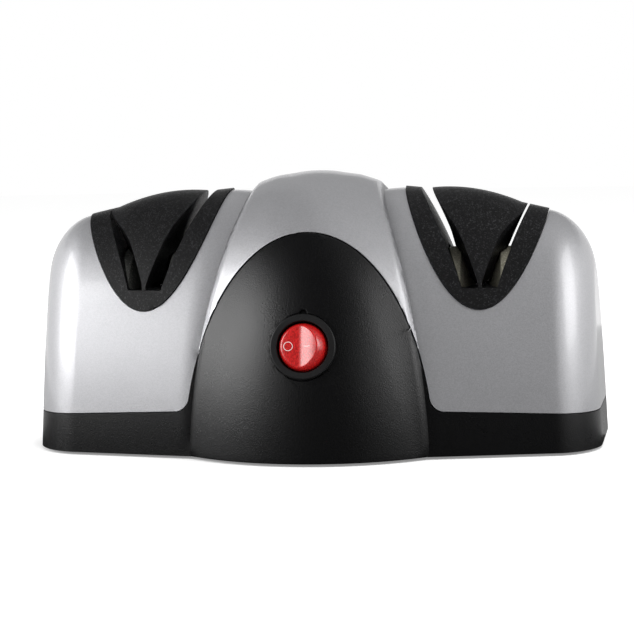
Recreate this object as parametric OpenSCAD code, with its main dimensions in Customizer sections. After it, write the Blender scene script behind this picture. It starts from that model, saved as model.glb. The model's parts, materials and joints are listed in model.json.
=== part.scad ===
// Electric knife sharpener: a silver upper shell and a black lower shell hold a two-ended motor.
// Each shaft end carries a pair of conical grinding wheels under a saddle with two knife slots.
// X runs along the machine, -Y is the front with the switch, Z is up, millimetres.

/* [Body] */
// Half the length of the body, between the front and the back
body_half_len = 104.8; // [101:0.1:109]
// Reach of the wings to the front, where they meet in the middle
front_reach = 46.7; // [45:0.1:49]
// Reach of the wings to the back, where they meet in the middle
back_reach = 46; // [44:0.1:49]
// Height of the wings' roof where they meet in the middle
roof_h = 96.3; // [94:0.1:98]
// How much lower the roof is at the ends
roof_fall = 14.4; // [12:0.1:16]
// Wall of both shells
wall = 2.5; // [2:0.1:3]
// Reveal between the two shells
seam_gap = 0.25; // [0.2:0.05:0.4]

/* [Centre bulge] */
// Half width of the bulge where it would meet the bench
bulge_half_w = 63.7; // [62:0.1:66]
// Reach of the bulge to the front
bulge_front = 54.5; // [53:0.5:58]
// Reach of the bulge to the back
bulge_back = 51.1; // [48:0.1:54]
// Height of the hump
bulge_h = 101.5; // [100:0.5:105]

/* [Seam] */
// Height of the black base where the dome begins
seam_h = 18.8; // [17:0.1:21]
// Half width of the black dome's arch
dome_half_w = 44.3; // [42:0.1:46]
// Height of the black dome's arch
dome_h = 80; // [76:0.5:84]
// Round where the base's edge turns up into the arch
seam_round = 6; // [4:0.5:8]

/* [Knife guides] */
// Distance of each guide's middle from the middle of the body
guide_x = 60.5; // [59:0.5:62]
// Height of the guide's lowest edge
guide_low = 52.3; // [51.8:0.1:53.5]
// Spread of the guide's parabola
guide_spread = 18; // [17:0.1:19]
// Height of the floor of the knife slots
slot_floor = 59.5; // [58.5:0.1:60.5]
// Width of a knife slot, level
slot_w = 6; // [5.9:0.1:6.4]
// How far the guides stand proud of the silver shell
guide_proud = 0.6; // [0.4:0.1:1]
// How much higher the wedge's crown stands
crown_rise = 2; // [1:0.1:3]

/* [Grinding] */
// Radius of a grinding wheel
wheel_r = 25; // [24:0.25:26]
// Angle of the wheel's face to the vertical
face_angle = 20.3; // [18:0.1:22]
// Half the gap between a pair of wheels
wheel_gap = 2.3; // [2.1:0.1:2.6]
// Depth of a wheel from the guide's middle to its back
wheel_back = 12; // [11.5:0.1:12.5]
// Radius of the wheel's bore
wheel_bore_r = 6.6; // [6.2:0.1:7]

/* [Motor] */
// Height of the shaft
shaft_z = 48; // [47:0.1:48.2]
// Radius of the shaft
shaft_r = 3; // [2.9:0.05:3.1]
// Radius of the armature
armature_r = 14.5; // [14:0.1:14.7]
// Half the length of the iron cores
core_half = 11; // [10:0.25:11.5]
// Half the gap between the two end brackets
bracket_x = 32; // [31.5:0.1:33]
// Thickness of an end bracket
bracket_t = 3; // [2.5:0.1:3.5]

/* [Switch] */
// Height of the switch on the dome
switch_z = 41.5; // [40:0.25:43]
// Radius of the switch's bezel
bezel_r = 11.5; // [11.2:0.1:12]
// Radius of the switch's barrel
barrel_r = 9.8; // [9.7:0.05:9.9]
// Radius of the rocker
rocker_r = 8.6; // [8.3:0.05:8.65]
// Lean of the rocker at rest
rocker_lean = 10; // [8:0.5:11]

/* [Base] */
// Height of the base's underside above the bench
foot_stand = 1; // [0.8:0.1:2]
// Radius of a rubber foot
foot_r = 7; // [6:0.25:7.5]
// Radius of the cord's outlet
outlet_r = 3.2; // [3:0.1:3.6]

/* [Hidden] */

silver = "silver";
black = "#1a1a1b";
steel = "lightsteelblue";
brass = "goldenrod";
copper = "peru";

fit = 0.02;             // clearance of a fit on the shaft
ridge_y = 12;           // the ridge line of the wings in the middle
ridge_sweep = 0.08;     // how fast the ridge line comes forward along X
bulge_y = 12;           // the middle of the bulge
shaft_y = 2;            // the line of the shaft
front_sweep = 0.2;      // how fast the wings' front draws in along X
back_sweep = 0.05;      // how fast their back draws in
end_draft = 0.05;       // draft of the ends
end_splay = 0.09;       // how fast the ends spread towards the back
roll_power = 2.15;      // fullness of the wings' section
bulge_power = 2.25;     // fullness of the bulge's profile
bulge_taper = 600;      // height at which the bulge's sides would meet
end_round = 15;         // length of the wings' rounded ends, seen from above
front_tuck = 18;        // how far the ends' round draws in the front
back_tuck = 10;         // how far it draws in the back
corner_round = 15;      // length of the ends' round under the roof
corner_drop = 17;       // height of that round
seam_fall = 0.045;      // how fast the seam falls along X
crown_half_w = 18;      // half width of the wedges' crowns
seam_cross = 0.08;      // how far under the band's edge the arch's foot runs out
flat_steps = 6;         // facets along each wing, up to its rounded end
end_step = 11.25;       // angle of a facet of the rounded end
arch_steps = 18;        // facets over the wings
bulge_steps = 28;       // facets round the bulge
bulge_rings = 11;       // facets up the bulge
far = 200;              // longer than the whole body
floor_top = foot_stand + wall;

// ---- forms -------------------------------------------------------------------------------

// How far a rounded edge of this length has turned in, from 0 to 1, at x of a body of half length l
function turned(x, l, length) = 1 - sqrt(max(0, 1 - pow(max(0, x - l + length) / length, 2)));

// A point of the wings' surface, from its place along them and an angle over them
function wing_point(s, over, inset, crown) =
    let (l = body_half_len - inset,
         x = abs(s),
         round = turned(x, l, end_round),
         roof = roof_h - inset - roof_fall * pow(x / body_half_len, 2)
                - corner_drop * turned(x, l, corner_round)
                + crown * max(0, 1 - pow((x - guide_x) / crown_half_w, 2)),
         ridge = ridge_y - ridge_sweep * x,
         front = front_reach - inset - front_sweep * x - front_tuck * round,
         back = back_reach - inset - back_sweep * x - back_tuck * round,
         share = pow(abs(cos(over)), 2 / roll_power),
         y = cos(over) > 0 ? ridge - (front + ridge) * share : ridge + (back - ridge) * share,
         z = roof * pow(sin(over), 2 / roll_power))
    [s * (1 + (end_splay * y - end_draft * z) / body_half_len), y, z];

function quad(a, b, c, d) = [[a, b, c], [a, c, d]];

// The long body with its swept faces, falling roof and rounded ends
module wings(inset = 0, crown = 0) {
    flat = body_half_len - inset - end_round;
    half = concat([for (i = [1:flat_steps]) i * flat / flat_steps],
                  [for (a = [end_step:end_step:90]) flat + end_round * sin(a)]);
    places = concat([for (i = [len(half) - 1:-1:0]) -half[i]], [0], half);
    row = arch_steps + 1;
    last = (len(places) - 1) * row;
    points = [for (s = places, j = [0:arch_steps]) wing_point(s, 180 * j / arch_steps, inset, crown)];
    skin_faces = [for (i = [0:len(places) - 2], j = [0:arch_steps - 1])
        each quad(i * row + j, i * row + j + 1, (i + 1) * row + j + 1, (i + 1) * row + j)];
    left_end = [for (j = [arch_steps:-1:0]) j];
    right_end = [for (j = [0:arch_steps]) last + j];
    under = concat([for (i = [0:row:last]) i], [for (i = [last:-row:0]) i + arch_steps]);
    polyhedron(points, concat(skin_faces, [left_end, right_end, under]));
}

// How wide and deep the bulge still is at a height, from 1 at the bench to 0 at its top
function bulge_share(z) = pow(1 - pow(z / bulge_h, bulge_power), 1 / bulge_power);

// The tall egg in the middle, narrower towards its top
module bulge(inset = 0) {
    function reach(round) = sin(round) < 0 ? bulge_front + bulge_y : bulge_back - bulge_y;
    function ring_point(round, up) =
        let (z = (bulge_h - inset) * pow(sin(up), 2 / bulge_power),
             share = pow(cos(up), 2 / bulge_power))
        [(bulge_half_w - inset) * share * cos(round) * (1 - z / bulge_taper),
         bulge_y + (reach(round) - inset) * share * sin(round), z];
    points = [for (j = [0:bulge_rings - 1], i = [0:bulge_steps - 1])
        ring_point(360 * i / bulge_steps, 90 * j / bulge_rings)];
    top = len(points);
    side_faces = [for (j = [0:bulge_rings - 2], i = [0:bulge_steps - 1])
        let (n = (i + 1) % bulge_steps)
        each quad(j * bulge_steps + i, (j + 1) * bulge_steps + i,
                  (j + 1) * bulge_steps + n, j * bulge_steps + n)];
    top_faces = [for (i = [0:bulge_steps - 1])
        [(bulge_rings - 1) * bulge_steps + i, top,
         (bulge_rings - 1) * bulge_steps + (i + 1) % bulge_steps]];
    under = [for (i = [0:bulge_steps - 1]) i];
    polyhedron(concat(points, [[0, bulge_y, bulge_h - inset]]),
               concat(side_faces, top_faces, [under]));
}

// The whole outside, or the same form inset by a wall
module body_form(inset = 0) {
    wings(inset);
    bulge(inset);
}

// Blends everything inside it into one closed skin, at its own size
module skin() {
    resize([0, 0, 0]) union() children();
}

// A drawing of the front, X across and Z up, drawn out along Y between two depths
module along_y(front, rear) {
    translate([0, rear, 0]) rotate([90, 0, 0]) linear_extrude(rear - front) children();
}

// A shape turned about the shaft's line, its own Z along X
module on_shaft(x) {
    translate([x, shaft_y, shaft_z]) rotate([0, 90, 0]) children();
}

module above(z) {
    translate([-far, -far, z]) cube([2 * far, 2 * far, far]);
}

// ---- shells ------------------------------------------------------------------------------

// The black base's band, seen from the front, grown by the reveal
module base_band(grow) {
    polygon([[0, -1], [far, -1], [far, seam_h - seam_fall * far + grow], [0, seam_h + grow],
             [-far, seam_h - seam_fall * far + grow], [-far, -1]]);
}

// The dome's arch, with the round at its foot crossing the band's edge
module dome_arch(grow) {
    foot_reach = dome_half_w + 2 * seam_round;
    offset(delta = grow) intersection() {
        offset(r = -seam_round) offset(r = seam_round) union() {
            base_band(-seam_cross);
            polygon([for (a = [0:6:180]) [dome_half_w * cos(a), dome_h * sin(a)]]);
        }
        translate([-foot_reach, seam_h / 2]) square([2 * foot_reach, dome_h]);
    }
}

module base_zone(grow = 0) {
    along_y(-far, far) base_band(grow);
    along_y(-far, bulge_y) dome_arch(grow, $fn = 32);
}

// Places of the screws that close the housing, and of the rubber feet
housing_screw_x = body_half_len - 10.8;
housing_screw_y = [-9, 21];
foot_x = body_half_len - 24.8;
foot_y = [-17, 25];
base_post_r = 4.6;
top_post_r = 3.6;
post_foot = foot_stand + 0.1;
post_top = seam_h - seam_fall * housing_screw_x - 1;
screw_r = 1.5;
screw_len = 26;
screw_head_r = 3.2;
screw_head_h = 2;
head_seat = foot_stand + 5;
bracket_foot_x = bracket_x + bracket_t + 4;
bracket_foot_y = 14;
bracket_foot_z = 12;
motor_post_r = 4;
pilot_r = 1.3;          // hole that a screw of the motor's foot cuts its thread in
foot_depth = 1.2;       // depth of the feet's seats
rib_t = 2;              // thickness of the floor's ribs
vent_w = 2.4;           // width of a cooling slot
vent_pitch = 5;
vent_y = [-8, 12];

module at_housing_screws() {
    for (x = [-1, 1], y = housing_screw_y) translate([x * housing_screw_x, y, 0]) children();
}

module at_motor_feet() {
    for (x = [-1, 1], y = [-1, 1])
        translate([x * bracket_foot_x, shaft_y + y * bracket_foot_y, 0]) children();
}

// The switch's own frame: Z out of the dome, Y up the dome
switch_share = bulge_share(switch_z);
dome_depth = bulge_front + bulge_y;
switch_tilt = atan(dome_depth / bulge_h * pow(switch_z / bulge_h, bulge_power - 1)
                   * pow(switch_share, 1 - bulge_power));
bezel_t = 2;
bezel_play = 0.3;       // play round the bezel in the dome's round hole
barrel_play = 0.2;
key_r = 1.5;            // round notch over the bezel
key_depth = 0.9;
// Depth of the flat land that the bezel sits on, under the dome's crown
land_depth = pow(bezel_r + 0.5, 2) / (2 * bulge_front);
module at_switch() {
    translate([0, bulge_y - dome_depth * switch_share, switch_z])
        rotate([90 - switch_tilt, 0, 0]) translate([0, 0, -land_depth]) children();
}

outlet_z = 11;
outlet_seat = 0.4;      // depth of the flange's flat seat in the bulge's back

outlet_flange_r = outlet_r + 3.2;
outlet_neck_r = outlet_r + 1.5;
outlet_face = bulge_back - outlet_seat;

module at_outlet() {
    translate([0, outlet_face, outlet_z]) rotate([-90, 0, 0]) children();
}

module floor_rib(x, y, height) {
    translate([x - rib_t / 2, y[0], post_foot]) cube([rib_t, y[1] - y[0], height]);
}

module base_shell() {
    color(black) skin() difference() {
        union() {
            difference() {
                intersection() {
                    body_form();
                    base_zone();
                    above(foot_stand);
                }
                intersection() {
                    body_form(wall);
                    above(floor_top);
                }
            }
            // posts for the housing screws and the motor's feet
            at_housing_screws() translate([0, 0, post_foot])
                cylinder(r = base_post_r, h = post_top - post_foot, $fn = 24);
            at_motor_feet() translate([0, 0, post_foot])
                cylinder(r = motor_post_r, h = bracket_foot_z - post_foot, $fn = 24);
            // ribs that stiffen the floor under the motor and beside it
            for (side = [-1, 1]) {
                floor_rib(side * 20, [-24, 32], 7);
                floor_rib(side * 66, [-20, 24], 5);
            }
        }
        at_housing_screws() {
            translate([0, 0, -1]) cylinder(r = screw_r + 0.3, h = post_top + 2, $fn = 20);
            translate([0, 0, -1]) cylinder(r = screw_head_r + 0.3, h = head_seat + 1, $fn = 24);
        }
        at_motor_feet() translate([0, 0, floor_top + 1]) cylinder(r = pilot_r, h = far, $fn = 16);
        // shallow seats for the rubber feet
        for (x = [-1, 1], y = foot_y) translate([x * foot_x, y, -1])
            cylinder(r = foot_r + 0.2, h = 1 + foot_stand + foot_depth, $fn = 32);
        // cooling slots under the motor
        for (i = [-3:3]) translate([i * vent_pitch - vent_w / 2, vent_y[0], -1])
            cube([vent_w, vent_y[1] - vent_y[0], 10]);
        // the dome's round hole, its flat land and the notch that keys the switch
        at_switch() {
            cylinder(r = bezel_r + bezel_play, h = 10, $fn = 48);
            translate([0, 0, -10]) cylinder(r = barrel_r + barrel_play, h = 12, $fn = 48);
            translate([0, bezel_r + 0.1, -key_depth]) cylinder(r = key_r, h = 10, $fn = 16);
        }
        // the cord's outlet and the flat seat of its bush
        at_outlet() {
            translate([0, 0, -8]) cylinder(r = outlet_neck_r + 0.1, h = 20, $fn = 32);
            cylinder(r = outlet_flange_r + 0.2, h = 10, $fn = 32);
        }
    }
}

guide_reach = 33;       // half width of the guide's outline high over the roof
guide_step = 3;         // width of a facet of it
over_roof = 130;        // a height over everything

module guide_outline(grow = 0) {
    offset(delta = grow) polygon(concat(
        [for (x = [-guide_reach:guide_step:guide_reach]) [x, guide_low + x * x / guide_spread]],
        [[guide_reach, over_roof], [-guide_reach, over_roof]]));
}

module top_shell() {
    color(silver) skin() difference() {
        union() {
            difference() {
                body_form();
                body_form(wall);
            }
            // posts that take the housing screws, hanging from the roof
            intersection() {
                at_housing_screws() translate([0, 0, post_top + 0.3])
                    cylinder(r = top_post_r, h = far, $fn = 20);
                body_form(wall / 2);
            }
        }
        base_zone(seam_gap);
        translate([0, 0, -far]) cube(2 * far + foot_stand, center = true);
        for (side = [-1, 1]) translate([side * guide_x, 0, 0])
            along_y(-far, far) guide_outline(seam_gap);
        at_housing_screws() cylinder(r = screw_r - 0.18, h = screw_len + head_seat, $fn = 24);
    }
}

// ---- knife guides ------------------------------------------------------------------------

slot_top = 112;         // top of the slots' cut, over the crowns
slot_foot = 6.1;        // distance of a slot's outer wall from the guide's middle, at its floor
slot_lean = 0.31;       // how fast a slot leans out with its height
slot_bend = 0.0035;     // how fast that lean grows
slot_steps = 10;        // facets up a slot's wall
slot_swell = 1.3;       // above 1, the facets are shorter at the foot
mouth_from = 20;        // height over the slot's floor where its mouth begins to narrow
mouth_pinch = 0.11;     // how fast it narrows
web_half = 0.7;         // half the web between the slots at their foot
wedge_root = 0.05;      // how far the wedge's crown reaches past the slots' walls
rim_reach = 2.2;        // how far the rim reaches under the silver shell
core_wall = 2.4;        // wall of a leg round its hollow
// Wall of a slot next to the leg, and next to the wedge, by height over the slot's floor
function leg_wall(h) = slot_foot + slot_lean * h + slot_bend * h * h;
function wedge_wall(h) = max(web_half, leg_wall(h) - slot_w + mouth_pinch * max(0, h - mouth_from));
slot_rise = slot_top - slot_floor;
slot_rows = [for (i = [0:slot_steps]) slot_rise * pow(i / slot_steps, slot_swell)];
slot_rows_down = [for (i = [slot_steps:-1:0]) slot_rows[i]];

module slot_outline() {
    polygon(concat([for (h = slot_rows) [leg_wall(h), slot_floor + h]],
                   [for (h = slot_rows_down) [wedge_wall(h), slot_floor + h]]));
}

// The wedge between the two slots, a little wider than they leave it
module wedge_outline() {
    polygon(concat([for (h = slot_rows) [wedge_wall(h) - wedge_root, slot_floor + h]],
                   [for (h = slot_rows_down) [wedge_root - wedge_wall(h), slot_floor + h]]));
}

// The solid part of a leg between the slot and the silver shell, without its wall
module leg_core() {
    offset(delta = -core_wall) difference() {
        guide_outline();
        polygon(concat([for (h = slot_rows) [leg_wall(h), slot_floor + h]],
                       [[-far, slot_top], [-far, 0], [leg_wall(0), 0]]));
    }
}

wheel_clear = 0.8;      // room round a wheel in its guide
room_reach = 34;        // how far from the guide's middle that room reaches
module wheel_section(clear = 0) {
    root_r = 11.5;
    face_x = wheel_gap + (wheel_r - root_r) * tan(face_angle);
    chamfer = 0.6;
    polygon(clear > 0
        ? [[0, wheel_gap - clear], [root_r, wheel_gap - clear],
           [wheel_r + clear + 0.4, face_x - clear], [wheel_r + clear + 0.4, far], [0, far]]
        : [[wheel_bore_r, wheel_gap], [root_r, wheel_gap], [wheel_r - chamfer / 3, face_x - 0.1],
           [wheel_r, face_x + chamfer / 2], [wheel_r, wheel_back - chamfer],
           [wheel_r - chamfer, wheel_back], [wheel_bore_r, wheel_back]]);
}

// The room that a wheel turns in, out to the guide's side
module wheel_room() {
    for (way = [-1, 1]) translate([0, shaft_y, shaft_z]) rotate([0, way * 90, 0])
        intersection() {
            rotate_extrude($fn = 48) wheel_section(wheel_clear);
            cylinder(r = far, h = room_reach);
        }
}

module guide(side) {
    flange_in = wall + 0.3;
    flange_t = 2;
    color(black) skin() translate([side * guide_x, 0, 0]) difference() {
        union() {
            intersection() {
                along_y(-far, far) guide_outline();
                translate([-side * guide_x, 0, 0]) wings(-guide_proud);
            }
            // the wedge's crown stands higher than the legs
            intersection() {
                along_y(-far, far) wedge_outline();
                translate([-side * guide_x, 0, 0]) wings(-guide_proud, crown_rise);
            }
            // a rim under the silver shell keeps the guide in
            intersection() {
                along_y(-far, far) guide_outline(rim_reach);
                difference() {
                    translate([-side * guide_x, 0, 0]) wings(flange_in);
                    translate([-side * guide_x, 0, 0]) wings(flange_in + flange_t);
                    translate([-10, -far, 0]) cube([20, 2 * far, guide_low + 1.5]);
                }
            }
        }
        for (way = [0, 1]) mirror([way, 0, 0]) {
            along_y(-far, far) slot_outline();
            intersection() {
                along_y(-far, far) leg_core();
                translate([way == 0 ? -side * guide_x : side * guide_x, 0, 0]) wings(3);
            }
        }
        wheel_room();
    }
}

// ---- base fittings -----------------------------------------------------------------------

module foot(side, row) {
    color("#222222") translate([side * foot_x, foot_y[row], 0]) difference() {
        rotate_extrude() polygon([[0, 0], [foot_r - 0.8, 0], [foot_r, 0.8],
            [foot_r, foot_stand + foot_depth - 0.02], [0, foot_stand + foot_depth - 0.02]]);
        translate([0, 0, -1]) cylinder(r = 2.2, h = 1.8, $fn = 32);
    }
}

module screw(shank_r, shank_len, head_r, head_h) {
    difference() {
        union() {
            rotate_extrude() polygon([[0, 0], [head_r * 0.8, 0], [head_r, head_h * 0.4],
                [head_r, head_h], [0, head_h]]);
            cylinder(r = shank_r, h = head_h + shank_len, $fn = 24);
        }
        for (a = [0, 90]) rotate(a) translate([-head_r * 0.6, -0.4, -1]) cube([head_r * 1.2, 0.8, 1.9]);
    }
}

module housing_screws() {
    color(steel) at_housing_screws() translate([0, 0, head_seat - screw_head_h - 0.02])
        screw(screw_r - 0.22, screw_len, screw_head_r, screw_head_h);
}

module motor_screws() {
    color(steel) at_motor_feet() translate([0, 0, bracket_foot_z + 2.5 + 1.8 + 0.04])
        mirror([0, 0, 1]) screw(1.25, 7, 2.6, 1.8);
}

module cord_outlet_bush() {
    skin_in = wall - outlet_seat;
    flange_t = 3.8;
    color("#222222") at_outlet() rotate_extrude() polygon([
        [outlet_r, -skin_in - 2.5], [outlet_neck_r + 1.4, -skin_in - 2.5],
        [outlet_neck_r + 1.4, -skin_in - 0.8], [outlet_neck_r, -skin_in - 0.8],
        [outlet_neck_r, 0.02], [outlet_flange_r, 0.02],
        [outlet_flange_r, flange_t - 1.2], [outlet_flange_r - 1.2, flange_t], [outlet_r, flange_t]]);
}

// Boxed capacitor on the floor, with its two wire ends
capacitor_size = [16, 6, 11];
capacitor_corner = [-63, 27];
capacitor_leads = [5, 11];
module suppression_capacitor() {
    translate([capacitor_corner.x, capacitor_corner.y, floor_top]) {
        color("gold") translate([0, 0, fit]) cube(capacitor_size);
        color(steel) for (x = capacitor_leads) translate([x, capacitor_size.y / 2, capacitor_size.z])
            cylinder(r = 0.4, h = 5, $fn = 16);
    }
}

// ---- motor -------------------------------------------------------------------------------

core_half_y = 27;
core_half_z = 22;
pole_y = 17;
pole_z = 14;
bolt_y = 24.5;
bolt_r = 1.5;
bolt_hole_r = bolt_r + 0.2;
bolt_head_r = 2.8;
bolt_head_h = 3;
air_gap = 0.5;

module box_on_shaft(x0, x1, y0, y1, z0, z1) {
    translate([x0, shaft_y + y0, shaft_z + z0]) cube([x1 - x0, y1 - y0, z1 - z0]);
}

module stator_core() {
    color(steel) difference() {
        intersection() {
            box_on_shaft(-core_half, core_half, -core_half_y, core_half_y, -core_half_z, core_half_z);
            on_shaft(-core_half) cylinder(r = 31, h = 2 * core_half, $fn = 96);
        }
        on_shaft(-far) cylinder(r = armature_r + air_gap, h = 2 * far, $fn = 96);
        for (y = [-1, 1], z = [-1, 1])
            translate([-far, shaft_y + y * pole_y - 3.5, shaft_z + z * pole_z - 3]) cube([2 * far, 7, 6]);
        for (y = [-1, 1]) on_shaft(-far) translate([0, y * bolt_y, 0])
            cylinder(r = bolt_hole_r, h = 2 * far, $fn = 24);
    }
}

module field_coil(side) {
    half_x = core_half + 6.5;
    half_z = pole_z + 2.6;
    coil_t = 5.4;
    color(copper) translate([0, shaft_y + side * pole_y, shaft_z]) rotate([90, 0, 0])
        linear_extrude(6, center = true) difference() {
            rounded_rect(half_x, half_z, 4);
            rounded_rect(half_x - coil_t, half_z - coil_t, 1.2);
        }
}

// A rectangle with true round corners, from squares and circles
module rounded_rect(half_w, half_h, r) {
    square([2 * (half_w - r), 2 * half_h], center = true);
    square([2 * half_w, 2 * (half_h - r)], center = true);
    for (x = [-1, 1], y = [-1, 1]) translate([x * (half_w - r), y * (half_h - r)]) circle(r, $fn = 32);
}

bush_out_r = 6;
bracket_r = 20;
module bracket(side) {
    foot_len = 9;
    color("gainsboro") difference() {
        mirror([side < 0 ? 1 : 0, 0, 0]) union() {
            on_shaft(bracket_x) cylinder(r = bracket_r, h = bracket_t, $fn = 64);
            box_on_shaft(bracket_x, bracket_x + bracket_t, -core_half_y, core_half_y, -5, 5);
            // legs down to the feet, and the feet themselves
            for (y = [-1, 1]) {
                box_on_shaft(bracket_x, bracket_x + bracket_t, y * bracket_foot_y - 5,
                             y * bracket_foot_y + 5, bracket_foot_z + 0.02 - shaft_z, 0);
                box_on_shaft(bracket_x, bracket_x + bracket_t + foot_len, y * bracket_foot_y - 5,
                             y * bracket_foot_y + 5, bracket_foot_z + 0.02 - shaft_z,
                             bracket_foot_z + 2.5 - shaft_z);
                // arms back to the core
                box_on_shaft(core_half + 0.02, bracket_x + 1, y * (core_half_y - 3.5) - 3.5,
                             y * (core_half_y - 3.5) + 3.5, -5, 5);
            }
        }
        on_shaft(-far) cylinder(r = bush_out_r + fit, h = 2 * far, $fn = 64);
        for (y = [-1, 1]) on_shaft(-far) translate([0, y * bolt_y, 0])
            cylinder(r = bolt_hole_r, h = 2 * far, $fn = 24);
        at_motor_feet() cylinder(r = 1.5, h = 20, $fn = 24);
    }
}

module bush(side) {
    bush_half = 4;
    color(brass) mirror([side < 0 ? 1 : 0, 0, 0]) difference() {
        union() {
            on_shaft(bracket_x + bracket_t / 2 - bush_half)
                cylinder(r = bush_out_r, h = 2 * bush_half, $fn = 64);
            on_shaft(bracket_x + bracket_t + 0.02) cylinder(r = bush_out_r + 1.2, h = 1, $fn = 64);
        }
        on_shaft(-far) cylinder(r = shaft_r + 0.03, h = 2 * far, $fn = 64);
    }
}

module motor_bolts() {
    bolt_end = bracket_x + bracket_t;
    color(steel) for (y = [-1, 1]) translate([0, y * bolt_y, 0]) {
        on_shaft(-bolt_end - bolt_head_h) cylinder(r = bolt_r, h = 2 * bolt_end + bolt_head_h + 4, $fn = 24);
        on_shaft(-bolt_end - bolt_head_h) cylinder(r = bolt_head_r, h = bolt_head_h - 2 * fit, $fn = 24);
    }
}

module motor_nuts() {
    color(steel) for (y = [-1, 1]) translate([0, y * bolt_y, 0]) difference() {
        on_shaft(bracket_x + bracket_t + 0.03) cylinder(r = 3.2, h = 2.4, $fn = 6);
        on_shaft(-far) cylinder(r = bolt_r + fit, h = 2 * far, $fn = 24);
    }
}

commutator_r = 9;
commutator_x = 18.2;
commutator_len = 10;
brush_x = commutator_x + commutator_len / 2;
brush_len = 11;
holder_in = commutator_r + 2;
holder_out = 27;
holder_cap = 1.5;

// side 1 is the upper brush and -1 the lower one
module toward_brush(side) {
    translate([brush_x, shaft_y, shaft_z]) mirror([0, 0, side < 0 ? 1 : 0]) children();
}

module brush_holder(side) {
    color("saddlebrown") toward_brush(side) difference() {
        union() {
            translate([-3.6, -3.3, holder_in]) cube([7.2, 6.6, holder_out - holder_in]);
            // the lug that reaches the bracket
            translate([3.5, -3.3, holder_in + 3]) cube([bracket_x - brush_x - 3.52, 6.6, 5]);
        }
        translate([-2.6, -2.1, 0]) cube([5.2, 4.2, holder_out - holder_cap]);
        cylinder(r = 0.8, h = 40, $fn = 24);
    }
}

module brush(side) {
    color("dimgray") toward_brush(side) difference() {
        translate([-2.5, -2, commutator_r - 1]) cube([5, 4, brush_len + 1]);
        rotate([0, 90, 0]) cylinder(r = commutator_r + 0.15, h = 20, center = true, $fn = 64);
    }
}

// A wire wound at a steady rise, from z 0 to its length
module helix(coil_r, wire_r, turns, length, sides = 5, steps = 9) {
    n = turns * steps;
    points = [for (i = [0:n], k = [0:sides - 1])
        let (a = 360 * i / steps, b = 360 * k / sides, r = coil_r + wire_r * cos(b))
        [r * cos(a), r * sin(a), wire_r + (length - 2 * wire_r) * i / n + wire_r * sin(b)]];
    wall_faces = [for (i = [0:n - 1], k = [0:sides - 1])
        let (m = (k + 1) % sides)
        each quad(i * sides + k, i * sides + m, (i + 1) * sides + m, (i + 1) * sides + k)];
    polyhedron(points, concat(wall_faces,
        [[for (k = [sides - 1:-1:0]) k], [for (k = [0:sides - 1]) n * sides + k]]));
}

module brush_spring(side) {
    play = 0.05;
    spring_from = commutator_r + brush_len + play;
    color(steel) toward_brush(side) translate([0, 0, spring_from])
        helix(1.4, 0.28, 5, holder_out - holder_cap - play - spring_from);
}

// ---- rotor -------------------------------------------------------------------------------

shaft_end = guide_x + wheel_back + 10;

module motor_shaft() {
    color(steel) on_shaft(-shaft_end) union() {
        translate([0, 0, 0.6]) cylinder(r = shaft_r, h = 2 * shaft_end - 1.2, $fn = 64);
        cylinder(r = shaft_r - 0.6, h = 2 * shaft_end, $fn = 64);
    }
}

module on_rotor(x, r, len) {
    difference() {
        on_shaft(x) cylinder(r = r, h = len, $fn = 64);
        on_shaft(x - 1) cylinder(r = shaft_r + fit, h = len + 2, $fn = 64);
    }
}

module armature_core() {
    slots = 12;
    color(steel) difference() {
        on_rotor(-core_half, armature_r, 2 * core_half);
        for (i = [0:slots - 1]) on_shaft(-far) rotate(i * 360 / slots) {
            translate([armature_r - 2.2, -0.7, 0]) cube([5, 1.4, 2 * far]);
            translate([armature_r - 4.4, 0, 0]) cylinder(r = 2, h = 2 * far, $fn = 24);
        }
    }
}

module armature_winding() {
    color(copper) for (side = [-1, 1]) on_shaft(0) rotate([0, side < 0 ? 180 : 0, 0])
        translate([0, 0, core_half + 0.05]) rotate_extrude() polygon([
            [4.5, 0], [11.6, 0], [12.6, 1.2], [12.6, 3.6], [11, 5.6], [7, 6.4], [4.5, 6.4]]);
}

module commutator() {
    bars = 12;
    color(copper) difference() {
        on_rotor(commutator_x, commutator_r, commutator_len);
        for (i = [0:bars - 1]) on_shaft(commutator_x - 1) rotate(i * 360 / bars)
            translate([commutator_r - 0.8, -0.25, 0]) cube([3, 0.5, commutator_len + 2]);
    }
}

module cooling_fan() {
    fan_x = -27;
    fan_len = 8.5;
    blades = 9;
    color("whitesmoke") difference() {
        union() {
            on_shaft(fan_x) cylinder(r = 6, h = fan_len, $fn = 48);
            on_shaft(fan_x + fan_len - 1.4) cylinder(r = 17.5, h = 1.4, $fn = 64);
            for (i = [0:blades - 1]) on_shaft(fan_x) rotate(i * 360 / blades)
                translate([5.5, -0.7, 0]) cube([12.2, 1.4, fan_len]);
        }
        on_shaft(fan_x - 1) cylinder(r = shaft_r + fit, h = fan_len + 2, $fn = 64);
    }
}

// way 1 puts the piece on the guide's outer side and -1 on its inner side
module at_wheel(side, way) {
    on_shaft(side * guide_x) rotate([0, side * way < 0 ? 180 : 0, 0]) children();
}

module wheel(side, way) {
    color(side < 0 ? "#2c302c" : "#6f6c5c") at_wheel(side, way)
        rotate_extrude($fn = 96) wheel_section();
}

hub_flange_t = 2.5;
module hub(side, way) {
    color("#e8e6df") at_wheel(side, way) rotate_extrude() polygon([
        [shaft_r + fit, wheel_gap], [wheel_bore_r - fit, wheel_gap],
        [wheel_bore_r - fit, wheel_back + fit], [12, wheel_back + fit],
        [12, wheel_back + hub_flange_t - 0.6], [11.4, wheel_back + hub_flange_t],
        [shaft_r + fit, wheel_back + hub_flange_t]]);
}

module wheel_spacer(side) {
    color(steel) on_rotor(side * guide_x - wheel_gap + fit, shaft_r + 0.9, 2 * (wheel_gap - fit));
}

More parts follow.
